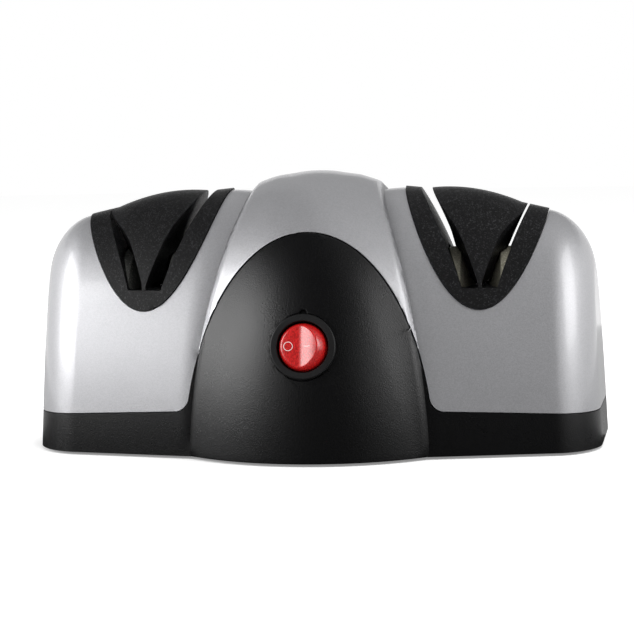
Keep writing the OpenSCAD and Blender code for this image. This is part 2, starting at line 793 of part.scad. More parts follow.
module thrust_collar(side) {
    collar_t = 2.6;
    color(steel) mirror([side < 0 ? 1 : 0, 0, 0])
        on_rotor(guide_x - wheel_back - hub_flange_t - fit - collar_t, 5.2, collar_t);
}

module shaft_nut(side) {
    color(steel) mirror([side < 0 ? 1 : 0, 0, 0]) difference() {
        on_shaft(guide_x + wheel_back + hub_flange_t + fit) cylinder(r = 5.77, h = 5, $fn = 6);
        on_shaft(-far) cylinder(r = shaft_r + fit, h = 2 * far, $fn = 64);
    }
}

// ---- switch ------------------------------------------------------------------------------

well_r = rocker_r + 0.4;
pivot_z = -1.6;         // the rocker's axis, under the bezel's land
well_depth = 9.5;
barrel_len = 15;
pin_r = 1;
pin_play = 0.08;

module switch_body() {
    color("#202021") at_switch() difference() {
        union() {
            rotate_extrude() polygon(concat([[well_r, 0.02], [bezel_r, 0.02]],
                [for (a = [0:15:90]) [bezel_r - 1 + cos(a), bezel_t - 1 + sin(a)]],
                [[well_r + 0.6, bezel_t], [well_r, bezel_t - 0.6]]));
            translate([0, 0, -barrel_len]) cylinder(r = barrel_r, h = barrel_len + 0.05, $fn = 64);
        }
        translate([0, 0, -well_depth]) cylinder(r = well_r, h = far, $fn = 64);
        // holes for the rocker's pins
        translate([0, 0, pivot_z]) rotate([90, 0, 0])
            cylinder(r = pin_r + pin_play, h = 2 * (well_r + 0.5), center = true, $fn = 32);
    }
}

// The rocker's face is two flats that meet in the middle, on a ball that turns in the well
module switch_rocker() {
    face_end = 5.6;
    face_middle = 3.5;
    reach = rocker_r + 3.4;
    skirt = -4.5;
    rib = 2.6;
    hollow = [-8.2, -2.2];
    color("red") at_switch() translate([0, 0, pivot_z]) rotate([0, -rocker_lean, 0]) union() {
        difference() {
            intersection() {
                sphere(r = rocker_r, $fn = 96);
                rotate([90, 0, 0]) linear_extrude(4 * rocker_r, center = true)
                    polygon([[-reach, skirt], [reach, skirt], [reach, face_end],
                             [0, face_middle], [-reach, face_end]]);
            }
            translate([0, 0, hollow[0]])
                cylinder(r = rocker_r - rib, h = hollow[1] - hollow[0], $fn = 48);
        }
        rotate([90, 0, 0]) cylinder(r = pin_r, h = 2 * (well_r + 0.3), center = true, $fn = 32);
    }
}

module switch_terminals() {
    color(brass) at_switch() for (y = [-6, 0, 6])
        translate([-2.4, y - 0.4, -barrel_len - 7]) cube([4.8, 0.8, 7]);
}

module switch_lamp() {
    color("orange") at_switch() translate([-3, 0, -well_depth + 1.55]) rotate([0, 90, 0])
        cylinder(r = 1.5, h = 6, $fn = 32);
}

base_shell();
top_shell();
guide(-1);  // guide_left
guide(1);  // guide_right
foot(-1, 0);  // foot_front_left
foot(1, 0);  // foot_front_right
foot(-1, 1);  // foot_rear_left
foot(1, 1);  // foot_rear_right
housing_screws();
cord_outlet_bush();
suppression_capacitor();
stator_core();
field_coil(-1);  // field_coil_front
field_coil(1);  // field_coil_rear
bracket(-1);  // bracket_left
bracket(1);  // bracket_right
bush(-1);  // bush_left
bush(1);  // bush_right
motor_bolts();
motor_nuts();
motor_screws();
brush_holder(-1);  // brush_holder_lower
brush_holder(1);  // brush_holder_upper
brush(-1);  // brush_lower
brush(1);  // brush_upper
brush_spring(-1);  // brush_spring_lower
brush_spring(1);  // brush_spring_upper
motor_shaft();
armature_core();
armature_winding();
commutator();
cooling_fan();
wheel(-1, -1);  // coarse_wheel_inner
wheel(-1, 1);  // coarse_wheel_outer
wheel(1, -1);  // fine_wheel_inner
wheel(1, 1);  // fine_wheel_outer
hub(-1, -1);  // coarse_hub_inner
hub(-1, 1);  // coarse_hub_outer
hub(1, -1);  // fine_hub_inner
hub(1, 1);  // fine_hub_outer
wheel_spacer(-1);  // wheel_spacer_left
wheel_spacer(1);  // wheel_spacer_right
thrust_collar(-1);  // thrust_collar_left
thrust_collar(1);  // thrust_collar_right
shaft_nut(-1);  // shaft_nut_left
shaft_nut(1);  // shaft_nut_right
switch_body();
switch_rocker();
switch_terminals();
switch_lamp();
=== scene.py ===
"""Electric knife sharpener: smooth shells, knife guides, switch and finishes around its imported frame."""

import json
import math
import bmesh
import bpy
from mathutils import Matrix, Vector


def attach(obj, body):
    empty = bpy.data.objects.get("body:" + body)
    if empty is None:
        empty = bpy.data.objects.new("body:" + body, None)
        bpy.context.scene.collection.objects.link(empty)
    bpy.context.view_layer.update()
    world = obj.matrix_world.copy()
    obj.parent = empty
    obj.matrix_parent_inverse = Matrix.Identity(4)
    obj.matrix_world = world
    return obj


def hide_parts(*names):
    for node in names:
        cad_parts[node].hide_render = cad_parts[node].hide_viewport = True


bl_info = {
    "name": "Electric knife sharpener",
    "version": (1, 0, 0),
    "blender": (4, 5, 0),
    "location": "3D Viewport > Sidebar > Sharpener",
    "description": "Builds the shells, guides, switch and finishes of an electric knife sharpener",
    "category": "Object",
}

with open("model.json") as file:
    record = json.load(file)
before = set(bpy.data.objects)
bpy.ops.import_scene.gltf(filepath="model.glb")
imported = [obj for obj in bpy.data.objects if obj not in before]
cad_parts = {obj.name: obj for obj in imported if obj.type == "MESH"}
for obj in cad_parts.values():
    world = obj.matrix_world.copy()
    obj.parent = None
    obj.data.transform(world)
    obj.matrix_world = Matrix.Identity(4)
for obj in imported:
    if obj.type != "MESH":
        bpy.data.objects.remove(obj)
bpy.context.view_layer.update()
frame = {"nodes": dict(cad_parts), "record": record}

MM = 0.001
TINY = 1e-6             # metres; what lies closer together counts as one point
FAR = 0.2               # farther from the middle than any part of the body
OVER_ALL = 0.13         # higher than any part of the body
IMAGE_WIDTH = 634       # pixels of the photograph


# ---- sizes and colours ---------------------------------------------------------------------


def length(name, description, millimetres):
    return bpy.props.FloatProperty(name=name, description=description, default=millimetres * MM,
                                   precision=5, unit="LENGTH")


def share(name, description, value):
    return bpy.props.FloatProperty(name=name, description=description, default=value, precision=3)


def angle(name, description, degrees):
    return bpy.props.FloatProperty(name=name, description=description, default=math.radians(degrees),
                                   subtype="ANGLE")


def count(name, description, value):
    return bpy.props.IntProperty(name=name, description=description, default=value, min=3)


def colour(name, description, red, green, blue):
    return bpy.props.FloatVectorProperty(name=name, description=description, subtype="COLOR",
                                         default=(red, green, blue), min=0, max=1)


def group(name, description, kind):
    return bpy.props.PointerProperty(name=name, description=description, type=kind)


class BodySizes(bpy.types.PropertyGroup):
    half_len: length("Half length", "Half the length of the wings", 104.8)
    front_reach: length("Front reach", "Reach of the wings to the front in the middle", 46.7)
    back_reach: length("Back reach", "Reach of the wings to the back in the middle", 46)
    roof_h: length("Roof height", "Height of the wings' roof in the middle", 96.3)
    roof_fall: length("Roof fall", "How much lower the roof is at the ends", 14.4)
    wall: length("Wall", "Wall of both shells", 2.5)
    seam_gap: length("Seam gap", "Reveal between the two shells", 0.35)
    ridge_y: length("Ridge", "The ridge line of the wings in the middle", 12)
    ridge_sweep: share("Ridge sweep", "How fast the ridge comes forward along X", 0.08)
    front_sweep: share("Front sweep", "How fast the wings' front draws in", 0.2)
    back_sweep: share("Back sweep", "How fast the wings' back draws in", 0.05)
    end_draft: share("End draft", "Draft of the ends", 0.05)
    end_splay: share("End splay", "How fast the ends spread towards the back", 0.09)
    roll_power: share("Roll power", "Fullness of the wings' section", 2.15)
    end_round: length("End round", "Length of the rounded ends, seen from above", 15)
    front_tuck: length("Front tuck", "How far the ends' round draws in the front", 18)
    back_tuck: length("Back tuck", "How far the ends' round draws in the back", 10)
    corner_round: length("Corner round", "Length of the ends' round under the roof", 15)
    corner_drop: length("Corner drop", "Height of the ends' round under the roof", 17)
    bulge_half_w: length("Bulge half width", "Half width of the bulge at the bench", 63.7)
    bulge_front: length("Bulge front", "Reach of the bulge to the front", 54.5)
    bulge_back: length("Bulge back", "Reach of the bulge to the back", 51.1)
    bulge_h: length("Bulge height", "Height of the hump", 101.5)
    bulge_y: length("Bulge middle", "The middle of the bulge", 12)
    bulge_power: share("Bulge power", "Fullness of the bulge's profile", 2.25)
    bulge_taper: length("Bulge taper", "Height at which the bulge's sides would meet", 600)
    crease_foot: length("Crease at the foot", "Reach of the soft crease beside the bulge, low down", 2.2)
    crease_top: length("Crease at the top", "Reach of the soft crease beside the hump", 9)
    crease_from: length("Crease begins", "Distance from the middle at which the crease begins", 8)
    lip: length("Lip", "Round of the shells' moulded edges", 0.35)
    stations: count("Stations", "Facets along the wings", 200)
    arch_steps: count("Arch steps", "Facets over the wings", 168)
    bulge_steps: count("Bulge steps", "Facets round the bulge", 256)
    bulge_rings: count("Bulge rings", "Facets up the bulge", 72)


class SeamSizes(bpy.types.PropertyGroup):
    height: length("Seam height", "Height of the black base where the dome begins", 18.8)
    fall: share("Seam fall", "How fast the seam falls along X", 0.045)
    dome_half_w: length("Dome half width", "Half width of the black dome's arch", 44.3)
    dome_h: length("Dome height", "Height of the black dome's arch", 80)
    foot_round: length("Foot round", "Round where the base's edge turns up into the arch", 6)
    cross: length("Crossing", "How far under the base's edge the arch's foot runs out", 0.08)


class GuideSizes(bpy.types.PropertyGroup):
    middle: length("Middle", "Distance of each guide from the middle of the body", 60.5)
    low: length("Lowest edge", "Height of the guide's lowest edge", 52.3)
    spread: length("Spread", "Spread of the guide's parabola", 18)
    reach: length("Reach", "Half width of the guide high above the roof", 33)
    slot_floor: length("Slot floor", "Height of the floor of the knife slots", 59.5)
    slot_w: length("Slot width", "Width of a knife slot, level", 6)
    slot_foot: length("Slot foot", "Distance of the slot's outer wall from the middle, at its floor", 6.1)
    slot_lean: share("Slot lean", "How fast the slot leans out with its height", 0.31)
    slot_bend: share("Slot bend", "How fast that lean grows, per metre", 3.5)
    web_half: length("Web", "Half the web between the two slots at their foot", 0.7)
    mouth_from: length("Mouth", "Height over the slot's floor where its mouth begins to narrow", 20)
    mouth_pinch: share("Mouth pinch", "How fast the mouth narrows", 0.11)
    slot_rise: length("Slot rise", "Height of the slot's cut over its floor", 52.5)
    outer_swell: length("Outer swell", "Swell of the wedge into its outer slot behind its front edge", 5)
    inner_swell: length("Inner swell", "Swell of the wedge into its inner slot behind its front edge", 6.5)
    swell_end: length("Swell's end", "Height over the slot's floor where the inner swell has died out", 42)
    draw_back: length("Draw back", "How far the inner slot's leg draws back towards the rear", 1.5)
    least_slot: length("Least slot", "Least width of a slot beside the swell", 1)
    proud: length("Proud", "How far the guides stand proud of the silver shell", 0.6)
    crown_rise: length("Crown rise", "How much higher the wedge's crown stands", 2)
    crown_half_w: length("Crown half width", "Half width of the wedge's crown", 18)
    lip: length("Lip", "Round of the guides' moulded edges", 0.3)


class SwitchSizes(bpy.types.PropertyGroup):
    height: length("Height", "Height of the switch on the dome", 41.5)
    bezel_r: length("Bezel radius", "Radius of the switch's bezel", 11.5)
    bezel_t: length("Bezel thickness", "Height of the bezel's ring over its land", 2)
    barrel_r: length("Barrel radius", "Radius of the switch's barrel", 9.8)
    rocker_r: length("Rocker radius", "Radius of the rocker's ball", 8.6)
    lean: angle("Lean", "Lean of the rocker at rest", 10)
    pivot: length("Pivot", "Depth of the rocker's axis under the land", 1.6)


class WheelSizes(bpy.types.PropertyGroup):
    shaft_y: length("Shaft line", "The line of the shaft, to the back", 2)
    shaft_z: length("Shaft height", "Height of the shaft", 48)
    radius: length("Radius", "Radius of a grinding wheel", 25)
    root_r: length("Root radius", "Radius at which the wheel's slanted face begins", 11.5)
    face_angle: angle("Face angle", "Angle of the wheel's face to the vertical", 20.3)
    gap: length("Gap", "Half the gap between a pair of wheels", 2.3)
    clear: length("Clearance", "Room round a wheel in its guide", 0.8)


class BaseSizes(bpy.types.PropertyGroup):
    stand: length("Stand", "Height of the base's underside above the bench", 1)
    foot_r: length("Foot radius", "Radius of a rubber foot", 7)
    foot_x: length("Foot place", "Distance of the feet from the middle", 80)
    foot_front: length("Front feet", "Distance of the front feet to the front", 17)
    foot_rear: length("Rear feet", "Distance of the rear feet to the back", 25)
    screw_x: length("Screw place", "Distance of the housing screws from the middle", 94)
    screw_front: length("Front screws", "Distance of the front screws to the front", 9)
    screw_rear: length("Rear screws", "Distance of the rear screws to the back", 21)
    outlet_r: length("Outlet radius", "Radius of the cord's outlet", 3.2)
    outlet_z: length("Outlet height", "Height of the cord's outlet", 11)


class Colours(bpy.types.PropertyGroup):
    silver: colour("Silver", "Silver paint of the upper shell", 0.42, 0.42, 0.435)
    black: colour("Black", "Satin black of the base and dome", 0.0036, 0.0036, 0.0039)
    guide: colour("Guide", "Grained black of the knife guides", 0.0065, 0.0065, 0.0069)
    rubber: colour("Rubber", "Feet and cord bush", 0.015, 0.015, 0.016)
    red: colour("Red", "Clear red of the rocker", 0.44, 0.007, 0.007)
    mark: colour("Mark", "Print of the rocker's marks", 0.80, 0.72, 0.70)
    coarse: colour("Coarse wheel", "Dark coarse abrasive", 0.090, 0.092, 0.085)
    fine: colour("Fine wheel", "Olive grey fine abrasive", 0.300, 0.285, 0.225)
    steel: colour("Steel", "Plated steel of the small parts", 0.50, 0.51, 0.53)
    copper: colour("Copper", "Enamelled copper", 0.60, 0.25, 0.11)
    bronze: colour("Bronze", "Sintered bronze", 0.45, 0.30, 0.14)
    cast: colour("Cast", "Die-cast alloy", 0.50, 0.50, 0.50)
    nylon: colour("Nylon", "Natural nylon", 0.70, 0.69, 0.64)
    brown: colour("Brown", "Brown moulding of the brush holders", 0.13, 0.050, 0.025)
    yellow: colour("Yellow", "Capacitor's box", 0.75, 0.50, 0.04)
    lamp: colour("Lamp", "Neon lamp", 0.90, 0.42, 0.20)


class Sizes(bpy.types.PropertyGroup):
    body: group("Body", "Form of both shells", BodySizes)
    seam: group("Seam", "Seam of the shells", SeamSizes)
    guide: group("Guides", "Knife guides", GuideSizes)
    switch: group("Switch", "Rocker switch", SwitchSizes)
    wheel: group("Wheels", "Grinding wheels", WheelSizes)
    base: group("Base", "Underside and back", BaseSizes)
    colours: group("Colours", "Colours", Colours)


# ---- shader nodes --------------------------------------------------------------------------


# A Mix node's sockets for colours go by number, because its other kinds use the same names
MIX_FACTOR, MIX_FIRST, MIX_SECOND = 0, 6, 7
MIX_RESULT = 2


class Shade:
    """A socket of a material; arithmetic on it adds the Math nodes that work it out."""

    def __init__(self, finish, socket):
        self.finish = finish
        self.socket = socket

    def math(self, operation, *values):
        node = self.finish.node("ShaderNodeMath", {"operation": operation}, dict(enumerate(values)))
        return node["Value"]

    def __add__(self, other):
        return self.math("ADD", self, other)

    def __sub__(self, other):
        return self.math("SUBTRACT", self, other)

    def __rsub__(self, other):
        return self.math("SUBTRACT", other, self)

    def __mul__(self, other):
        return self.math("MULTIPLY", self, other)

    def above(self, edge, width):
        """0 below edge, 1 above edge + width, even in between."""
        node = self.finish.node("ShaderNodeMapRange", {},
                                {"Value": self, "From Min": edge, "From Max": edge + width})
        return node["Result"]

    __radd__ = __add__
    __rmul__ = __mul__


class Outputs:
    """The outputs of a node, by name or number."""

    def __init__(self, finish, node):
        self.finish = finish
        self.node = node

    def __getitem__(self, name):
        return Shade(self.finish, self.node.outputs[name])


class Nodes:
    """A node tree that is emptied and built up node by node."""

    def __init__(self, tree):
        self.tree = tree
        tree.nodes.clear()

    def node(self, kind, settings, values):
        """Adds a node, gives it its settings first, and then its sockets' values or links."""
        node = self.tree.nodes.new(kind)
        for key, value in settings.items():
            setattr(node, key, value)
        for key, value in values.items():
            if isinstance(value, Shade):
                self.tree.links.new(value.socket, node.inputs[key])
            else:
                node.inputs[key].default_value = value
        return Outputs(self, node)


class Finish(Nodes):
    """A material with one surface shader."""

    def __init__(self, name):
        self.material = bpy.data.materials.new(name)
        self.material.use_nodes = True
        super().__init__(self.material.node_tree)
        self.place = self.node("ShaderNodeTexCoord", {}, {})["Object"]

    def noise(self, per_metre, detail=2.0, roughness=0.5, place=None):
        node = self.node("ShaderNodeTexNoise", {}, {
            "Vector": place or self.place, "Scale": per_metre, "Detail": detail, "Roughness": roughness})
        return node["Fac"]

    def cells(self, per_metre):
        """A random value for each small cell of the surface."""
        node = self.node("ShaderNodeTexVoronoi", {}, {"Vector": self.place, "Scale": per_metre})
        return self.node("ShaderNodeSeparateColor", {}, {"Color": node["Color"]})["Red"]

    def stretched(self, x, y, z):
        """Object coordinates drawn out along an axis."""
        return self.node("ShaderNodeMapping", {}, {"Vector": self.place, "Scale": (x, y, z)})["Vector"]

    def mix(self, factor, first, second):
        """A colour between two colours."""
        sockets = {MIX_FACTOR: factor, MIX_FIRST: first, MIX_SECOND: second}
        return self.node("ShaderNodeMix", {"data_type": "RGBA"}, sockets)[MIX_RESULT]

    def bump(self, height, distance, strength=1.0, under=None):
        values = {"Height": height, "Distance": distance, "Strength": strength}
        if under is not None:
            values["Normal"] = under
        return self.node("ShaderNodeBump", {}, values)["Normal"]

    def surface(self, **values):
        """The Principled shader, with socket names written with underscores."""
        sockets = {key.replace("_", " "): value for key, value in values.items()}
        return self.shown(self.node("ShaderNodeBsdfPrincipled", {}, sockets)["BSDF"])

    def shown(self, shader):
        """Puts a shader on the surface and hands the material back."""
        self.node("ShaderNodeOutputMaterial", {}, {"Surface": shader})
        return self.material


def rgba(tint, level=1.0):
    """A colour with its alpha, made lighter or darker."""
    return (tint[0] * level, tint[1] * level, tint[2] * level, 1)


# ---- finishes ------------------------------------------------------------------------------


def silver_paint(tint, flakes_per_m=3200, clouds_per_m=28, peel_per_m=420):
    """Silver paint over plastic: fine flakes, a faint orange peel and a clear top."""
    finish = Finish("silver_paint")
    flakes = finish.cells(flakes_per_m)
    cloud = finish.noise(clouds_per_m, detail=2)
    fleck = flakes * 0.6 + cloud * 0.4
    peel = finish.noise(peel_per_m, detail=1)
    flake_normal = finish.bump(flakes, 0.00004, strength=0.35)
    normal = finish.bump(peel, 0.00006, strength=0.35, under=flake_normal)
    return finish.surface(
        Base_Color=finish.mix(fleck, rgba(tint, 0.86), rgba(tint, 1.12)),
        Metallic=0.6,
        Roughness=0.36 + flakes * 0.10,
        Coat_Weight=0.5,
        Coat_Roughness=0.12,
        Normal=normal)


def moulded_black(name, tint, grain_per_m, grain_depth, roughness, specular, rubs_per_m=60):
    """Black plastic with a fine grain and faint rub marks."""
    finish = Finish(name)
    grain = finish.noise(grain_per_m, detail=3, roughness=0.6)
    rub = finish.noise(rubs_per_m, detail=4)
    return finish.surface(
        Base_Color=finish.mix(grain, rgba(tint, 0.75), rgba(tint, 1.25)),
        Roughness=roughness + rub * 0.08 + grain * 0.06,
        Specular_IOR_Level=specular,
        Normal=finish.bump(grain, grain_depth, strength=0.8))


def sparkling_black(name, tint, facets_per_m=3000, swells_per_m=900):
    """Coarse spark-eroded grain. Its glinting facets are smoother and painted much lighter in the base
    colour: a painted glint.
    """
    finish = Finish(name)
    facets = finish.cells(facets_per_m)
    swell = finish.noise(swells_per_m, detail=3)
    glint = facets.above(0.84, 0.12)
    return finish.surface(
        # Painted glint: the glinting cells are 4.5 times lighter in the base colour.
        Base_Color=finish.mix(glint, rgba(tint, 0.8), rgba(tint, 4.5)),
        Roughness=0.44 - glint * 0.14,
        Specular_IOR_Level=0.22,
        Normal=finish.bump(facets + swell, 0.00009, strength=0.9))


def rubber(tint, grain_per_m=1500):
    """Dull rubber with a fine grain."""
    finish = Finish("rubber")
    grain = finish.noise(grain_per_m, detail=2)
    return finish.surface(
        Base_Color=finish.mix(grain, rgba(tint, 0.7), rgba(tint, 1.4)),
        Roughness=0.75 + grain * 0.15,
        Specular_IOR_Level=0.3,
        Normal=finish.bump(grain, 0.00004, strength=0.6))


def abrasive(name, tint, grit_per_m):
    """Bonded grit: dull binder with grains that stand out and are smoother, and whose shine is a painted
    highlight: they are painted lighter in the base colour.
    """
    finish = Finish(name)
    grit = finish.cells(grit_per_m)
    pores = finish.noise(grit_per_m * 0.4, detail=3)
    shine = grit.above(0.90, 0.04)
    dull = finish.mix(pores, rgba(tint, 0.55), rgba(tint, 1.35))
    return finish.surface(
        # Painted highlight: the shining grains are painted 2.6 times lighter than the grit's colour.
        Base_Color=finish.mix(shine * 0.6, dull, rgba(tint, 2.6)),
        Roughness=0.78 - shine * 0.45,
        Normal=finish.bump(grit + pores, 0.00012, strength=0.9))


def plated(name, tint, roughness, along_x=False, lines_per_m=2600, tarnish_per_m=160):
    """Bright metal with fine drawing marks and a faint tarnish."""
    finish = Finish(name)
    place = finish.stretched(0.05, 1, 1) if along_x else finish.stretched(1, 1, 0.08)
    lines = finish.noise(lines_per_m, detail=2, place=place)
    tarnish = finish.noise(tarnish_per_m, detail=4)
    return finish.surface(
        Base_Color=finish.mix(tarnish, rgba(tint, 0.8), rgba(tint, 1.15)),
        Metallic=1.0,
        Roughness=roughness + lines * 0.12,
        Normal=finish.bump(lines, 0.00001, strength=0.4))


def wound_wire(tint, wires_scale=320):
    """Enamelled wire laid side by side round a coil."""
    finish = Finish("copper_winding")
    waves = finish.node("ShaderNodeTexWave", {"wave_type": "RINGS", "rings_direction": "X"},
                        {"Vector": finish.place, "Scale": wires_scale, "Distortion": 0.6,
                         "Detail": 1})["Fac"]
    return finish.surface(
        Base_Color=finish.mix(waves, rgba(tint, 0.45), rgba(tint, 1.2)),
        Metallic=0.85,
        Roughness=0.30 + waves * 0.15,
        Coat_Weight=0.4,
        Normal=finish.bump(waves, 0.0002, strength=0.8))


def laminated(tint, sheets_scale=310, rust_per_m=240):
    """Stacked steel sheets, their edges showing as fine lines."""
    finish = Finish("laminated_steel")
    sheets = finish.node("ShaderNodeTexWave", {"wave_type": "BANDS", "bands_direction": "X"},
                         {"Vector": finish.place, "Scale": sheets_scale, "Distortion": 0.2,
                          "Detail": 1})["Fac"]
    rust = finish.noise(rust_per_m, detail=4)
    return finish.surface(
        Base_Color=finish.mix(rust, rgba(tint, 0.45), rgba(tint, 0.8)),
        Metallic=0.9,
        Roughness=0.42 + rust * 0.15,
        Normal=finish.bump(sheets, 0.0001, strength=0.5))


def plain_moulding(name, tint, roughness, specks_per_m=1200, flow_per_m=90):
    """Moulded plastic with a faint flow and specks."""
    finish = Finish(name)
    flow = finish.noise(flow_per_m, detail=3)
    speck = finish.noise(specks_per_m, detail=2)
    return finish.surface(
        Base_Color=finish.mix(flow, rgba(tint, 0.85), rgba(tint, 1.1)),
        Roughness=roughness + speck * 0.12,
        Normal=finish.bump(speck, 0.00003, strength=0.5))


def clear_red(tint, depth_per_m=330, ribs_per_m=2800):
    """Clear red plastic with fine moulded ribs under its face, and painted light in its depth: lighter
    patches in the base colour and a faint glow of its own.
    """
    finish = Finish("clear_red")
    depth = finish.noise(depth_per_m, detail=2)
    ribs = finish.noise(ribs_per_m, detail=1, place=finish.stretched(1, 0.5, 0.5))
    # Painted light in the depth: noise and the ribs make the red lighter in patches.
    glow = finish.mix(depth * 0.4 + ribs.above(0.38, 0.24) * 0.6, rgba(tint, 0.5), rgba(tint, 1.4))
    return finish.surface(
        Base_Color=glow,
        Roughness=0.24 + ribs * 0.12,
        Coat_Weight=1.0,
        Coat_Roughness=0.24,
        # Painted glow: the rocker is no lamp, yet it glows faintly with the same colour.
        Emission_Color=glow,
        Emission_Strength=0.02,
        Normal=finish.bump(ribs, 0.00001, strength=0.3))


def pale_print(tint, wear_per_m=2400):
    """Pale printing ink, a little worn."""
    finish = Finish("pale_print")
    wear = finish.noise(wear_per_m, detail=3)
    return finish.surface(
        Base_Color=finish.mix(wear, rgba(tint, 0.75), rgba(tint)),
        Roughness=0.45 + wear * 0.2)


# ---- modelling -----------------------------------------------------------------------------


def mesh_of(form, name="scratch"):
    """The form as a mesh. The form is used up."""
    mesh = bpy.data.meshes.new(name)
    form.to_mesh(mesh)
    form.free()
    return mesh


def piece_from(form, name, material, body, slot, *replaced, crisp=35):
    """Puts a finished form in the scene as a piece that rides on a body. Edges that bend by more
    than crisp degrees stay sharp."""
    bmesh.ops.recalc_face_normals(form, faces=form.faces[:])
    if form.calc_volume(signed=True) < 0:
        bmesh.ops.reverse_faces(form, faces=form.faces[:])
    mesh = mesh_of(form, name)
    mesh.validate()
    mesh.shade_smooth()
    mesh.set_sharp_from_angle(angle=math.radians(crisp))
    mesh.materials.append(material)
    piece = bpy.data.objects.new(name, mesh)
    bpy.context.scene.collection.objects.link(piece)
    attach(piece, body)
    if replaced:
        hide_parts(*replaced)
    shading = piece.modifiers.new("even_shading", "WEIGHTED_NORMAL")
    shading.keep_sharp = True
    return piece


def combined(form, operation, *tools):
    """The form after one boolean with all the tools. Both it and they are used up."""
    held = bpy.data.collections.new("tools")
    scratch = []
    for shape in (form, *tools):
        bmesh.ops.triangulate(shape, faces=[face for face in shape.faces if len(face.verts) > 4])
        scratch.append(bpy.data.objects.new("scratch", mesh_of(shape)))
    bpy.context.scene.collection.objects.link(scratch[0])
    bpy.context.scene.collection.children.link(held)
    for tool in scratch[1:]:
        held.objects.link(tool)
    change = scratch[0].modifiers.new("change", "BOOLEAN")
    change.operation = operation
    change.solver = "MANIFOLD"
    change.operand_type = "COLLECTION"
    change.collection = held
    graph = bpy.context.evaluated_depsgraph_get()
    mesh = bpy.data.meshes.new_from_object(scratch[0].evaluated_get(graph))
    result = bmesh.new()
    result.from_mesh(mesh)
    bpy.data.meshes.remove(mesh)
    for leftover in scratch:
        bpy.data.meshes.remove(leftover.data)
    bpy.data.collections.remove(held)
    if not result.faces:
        raise RuntimeError("a boolean left nothing")
    if not all(edge.is_manifold for edge in result.edges):
        mend_seams(result)
    return result


def mend_seams(form):
    """Takes out faces and edges without size, and says how many edges still don't join two faces."""
    bmesh.ops.dissolve_degenerate(form, dist=2 * TINY, edges=form.edges)
    left = [edge for edge in form.edges if not edge.is_manifold]
    if left:
        print("a boolean left", len(left), "edges that don't join two faces")


def drawn_along_y(outline, front, rear):
    """A drawing of the front, points of X and Z, drawn out along Y."""
    form = bmesh.new()
    outer = ring(form, [(x, front, z) for x, z in outline])
    face = bmesh.ops.contextual_create(form, geom=outer)["faces"][0]
    drawn_out(form, [face], (0, rear - front, 0))
    bmesh.ops.recalc_face_normals(form, faces=form.faces)
    return form


def drawn_out(form, faces, way):
    """Draws faces out along a vector."""
    grown = bmesh.ops.extrude_face_region(form, geom=faces)
    far_side = [item for item in grown["geom"] if isinstance(item, bmesh.types.BMVert)]
    bmesh.ops.translate(form, verts=far_side, vec=way)


def ring(form, points):
    """A closed ring of edges, with its corners."""
    corners = [form.verts.new(point) for point in points]
    return corners + [form.edges.new(pair) for pair in zip(corners, corners[1:] + corners[:1])]


def chain(form, points):
    """An open chain of edges, with its corners."""
    corners = [form.verts.new(point) for point in points]
    return corners + [form.edges.new(pair) for pair in zip(corners, corners[1:])]


def turned_on_z(profile, steps=96):
    """A closed profile of radius and height, turned about Z."""
    form = bmesh.new()
    section = ring(form, [(radius, 0, height) for radius, height in profile])
    bmesh.ops.spin(form, geom=section, axis=(0, 0, 1), cent=(0, 0, 0), angle=math.tau, steps=steps,
                   use_merge=True)
    bmesh.ops.remove_doubles(form, verts=form.verts, dist=TINY)
    bmesh.ops.dissolve_degenerate(form, dist=TINY / 10, edges=form.edges)
    bmesh.ops.recalc_face_normals(form, faces=form.faces)
    return form


def block(low, high):
    """A box between two corners."""
    form = bmesh.new()
    bmesh.ops.create_cube(form, size=1)
    low, high = Vector(low), Vector(high)
    bmesh.ops.scale(form, verts=form.verts, vec=high - low)
    bmesh.ops.translate(form, verts=form.verts, vec=(low + high) / 2)
    return form


def sliced(form, at, normal, clear_outer=False):
    """Cuts the faces along a plane. With clear_outer, what lies on the normal's side goes."""
    everything = form.verts[:] + form.edges[:] + form.faces[:]
    bmesh.ops.bisect_plane(form, geom=everything, plane_co=at, plane_no=normal,
                           clear_outer=clear_outer, dist=TINY)


def close_holes(form):
    bmesh.ops.holes_fill(form, edges=[edge for edge in form.edges if edge.is_boundary], sides=0)


def cut_off_below(form, height):
    """Takes away all that lies under a height and closes the form again."""
    sliced(form, (0, 0, height), (0, 0, -1), clear_outer=True)
    close_holes(form)
    return form


def rod(radius, low, high, place=(0, 0), segments=48):
    """An upright cylinder between two heights."""
    form = bmesh.new()
    middle = Matrix.Translation((*place, (low + high) / 2))
    bmesh.ops.create_cone(form, cap_ends=True, segments=segments, radius1=radius, radius2=radius,
                          depth=high - low, matrix=middle)
    return form


def moved(form, matrix):
    bmesh.ops.transform(form, matrix=matrix, verts=form.verts)
    return form


def joined(form, other):
    """Both forms in one. The other one is used up."""
    mesh = mesh_of(other)
    form.from_mesh(mesh)
    bpy.data.meshes.remove(mesh)
    return form


def quarter_turn(steps):
    """Even angles from 0 to a quarter of a turn."""
    return [math.pi / 2 * step / steps for step in range(steps + 1)]


def last_where(holds, low, high, halvings=40):
    """The last value from low to high at which a test still holds."""
    for _ in range(halvings):
        half = (low + high) / 2
        if holds(half):
            low = half
        else:
            high = half
    return low


def sharp_edges(form, least):
    """Edges that stick out by more than an angle."""
    return [edge for edge in form.edges
            if edge.is_manifold and edge.calc_face_angle_signed(0) > math.radians(least)]


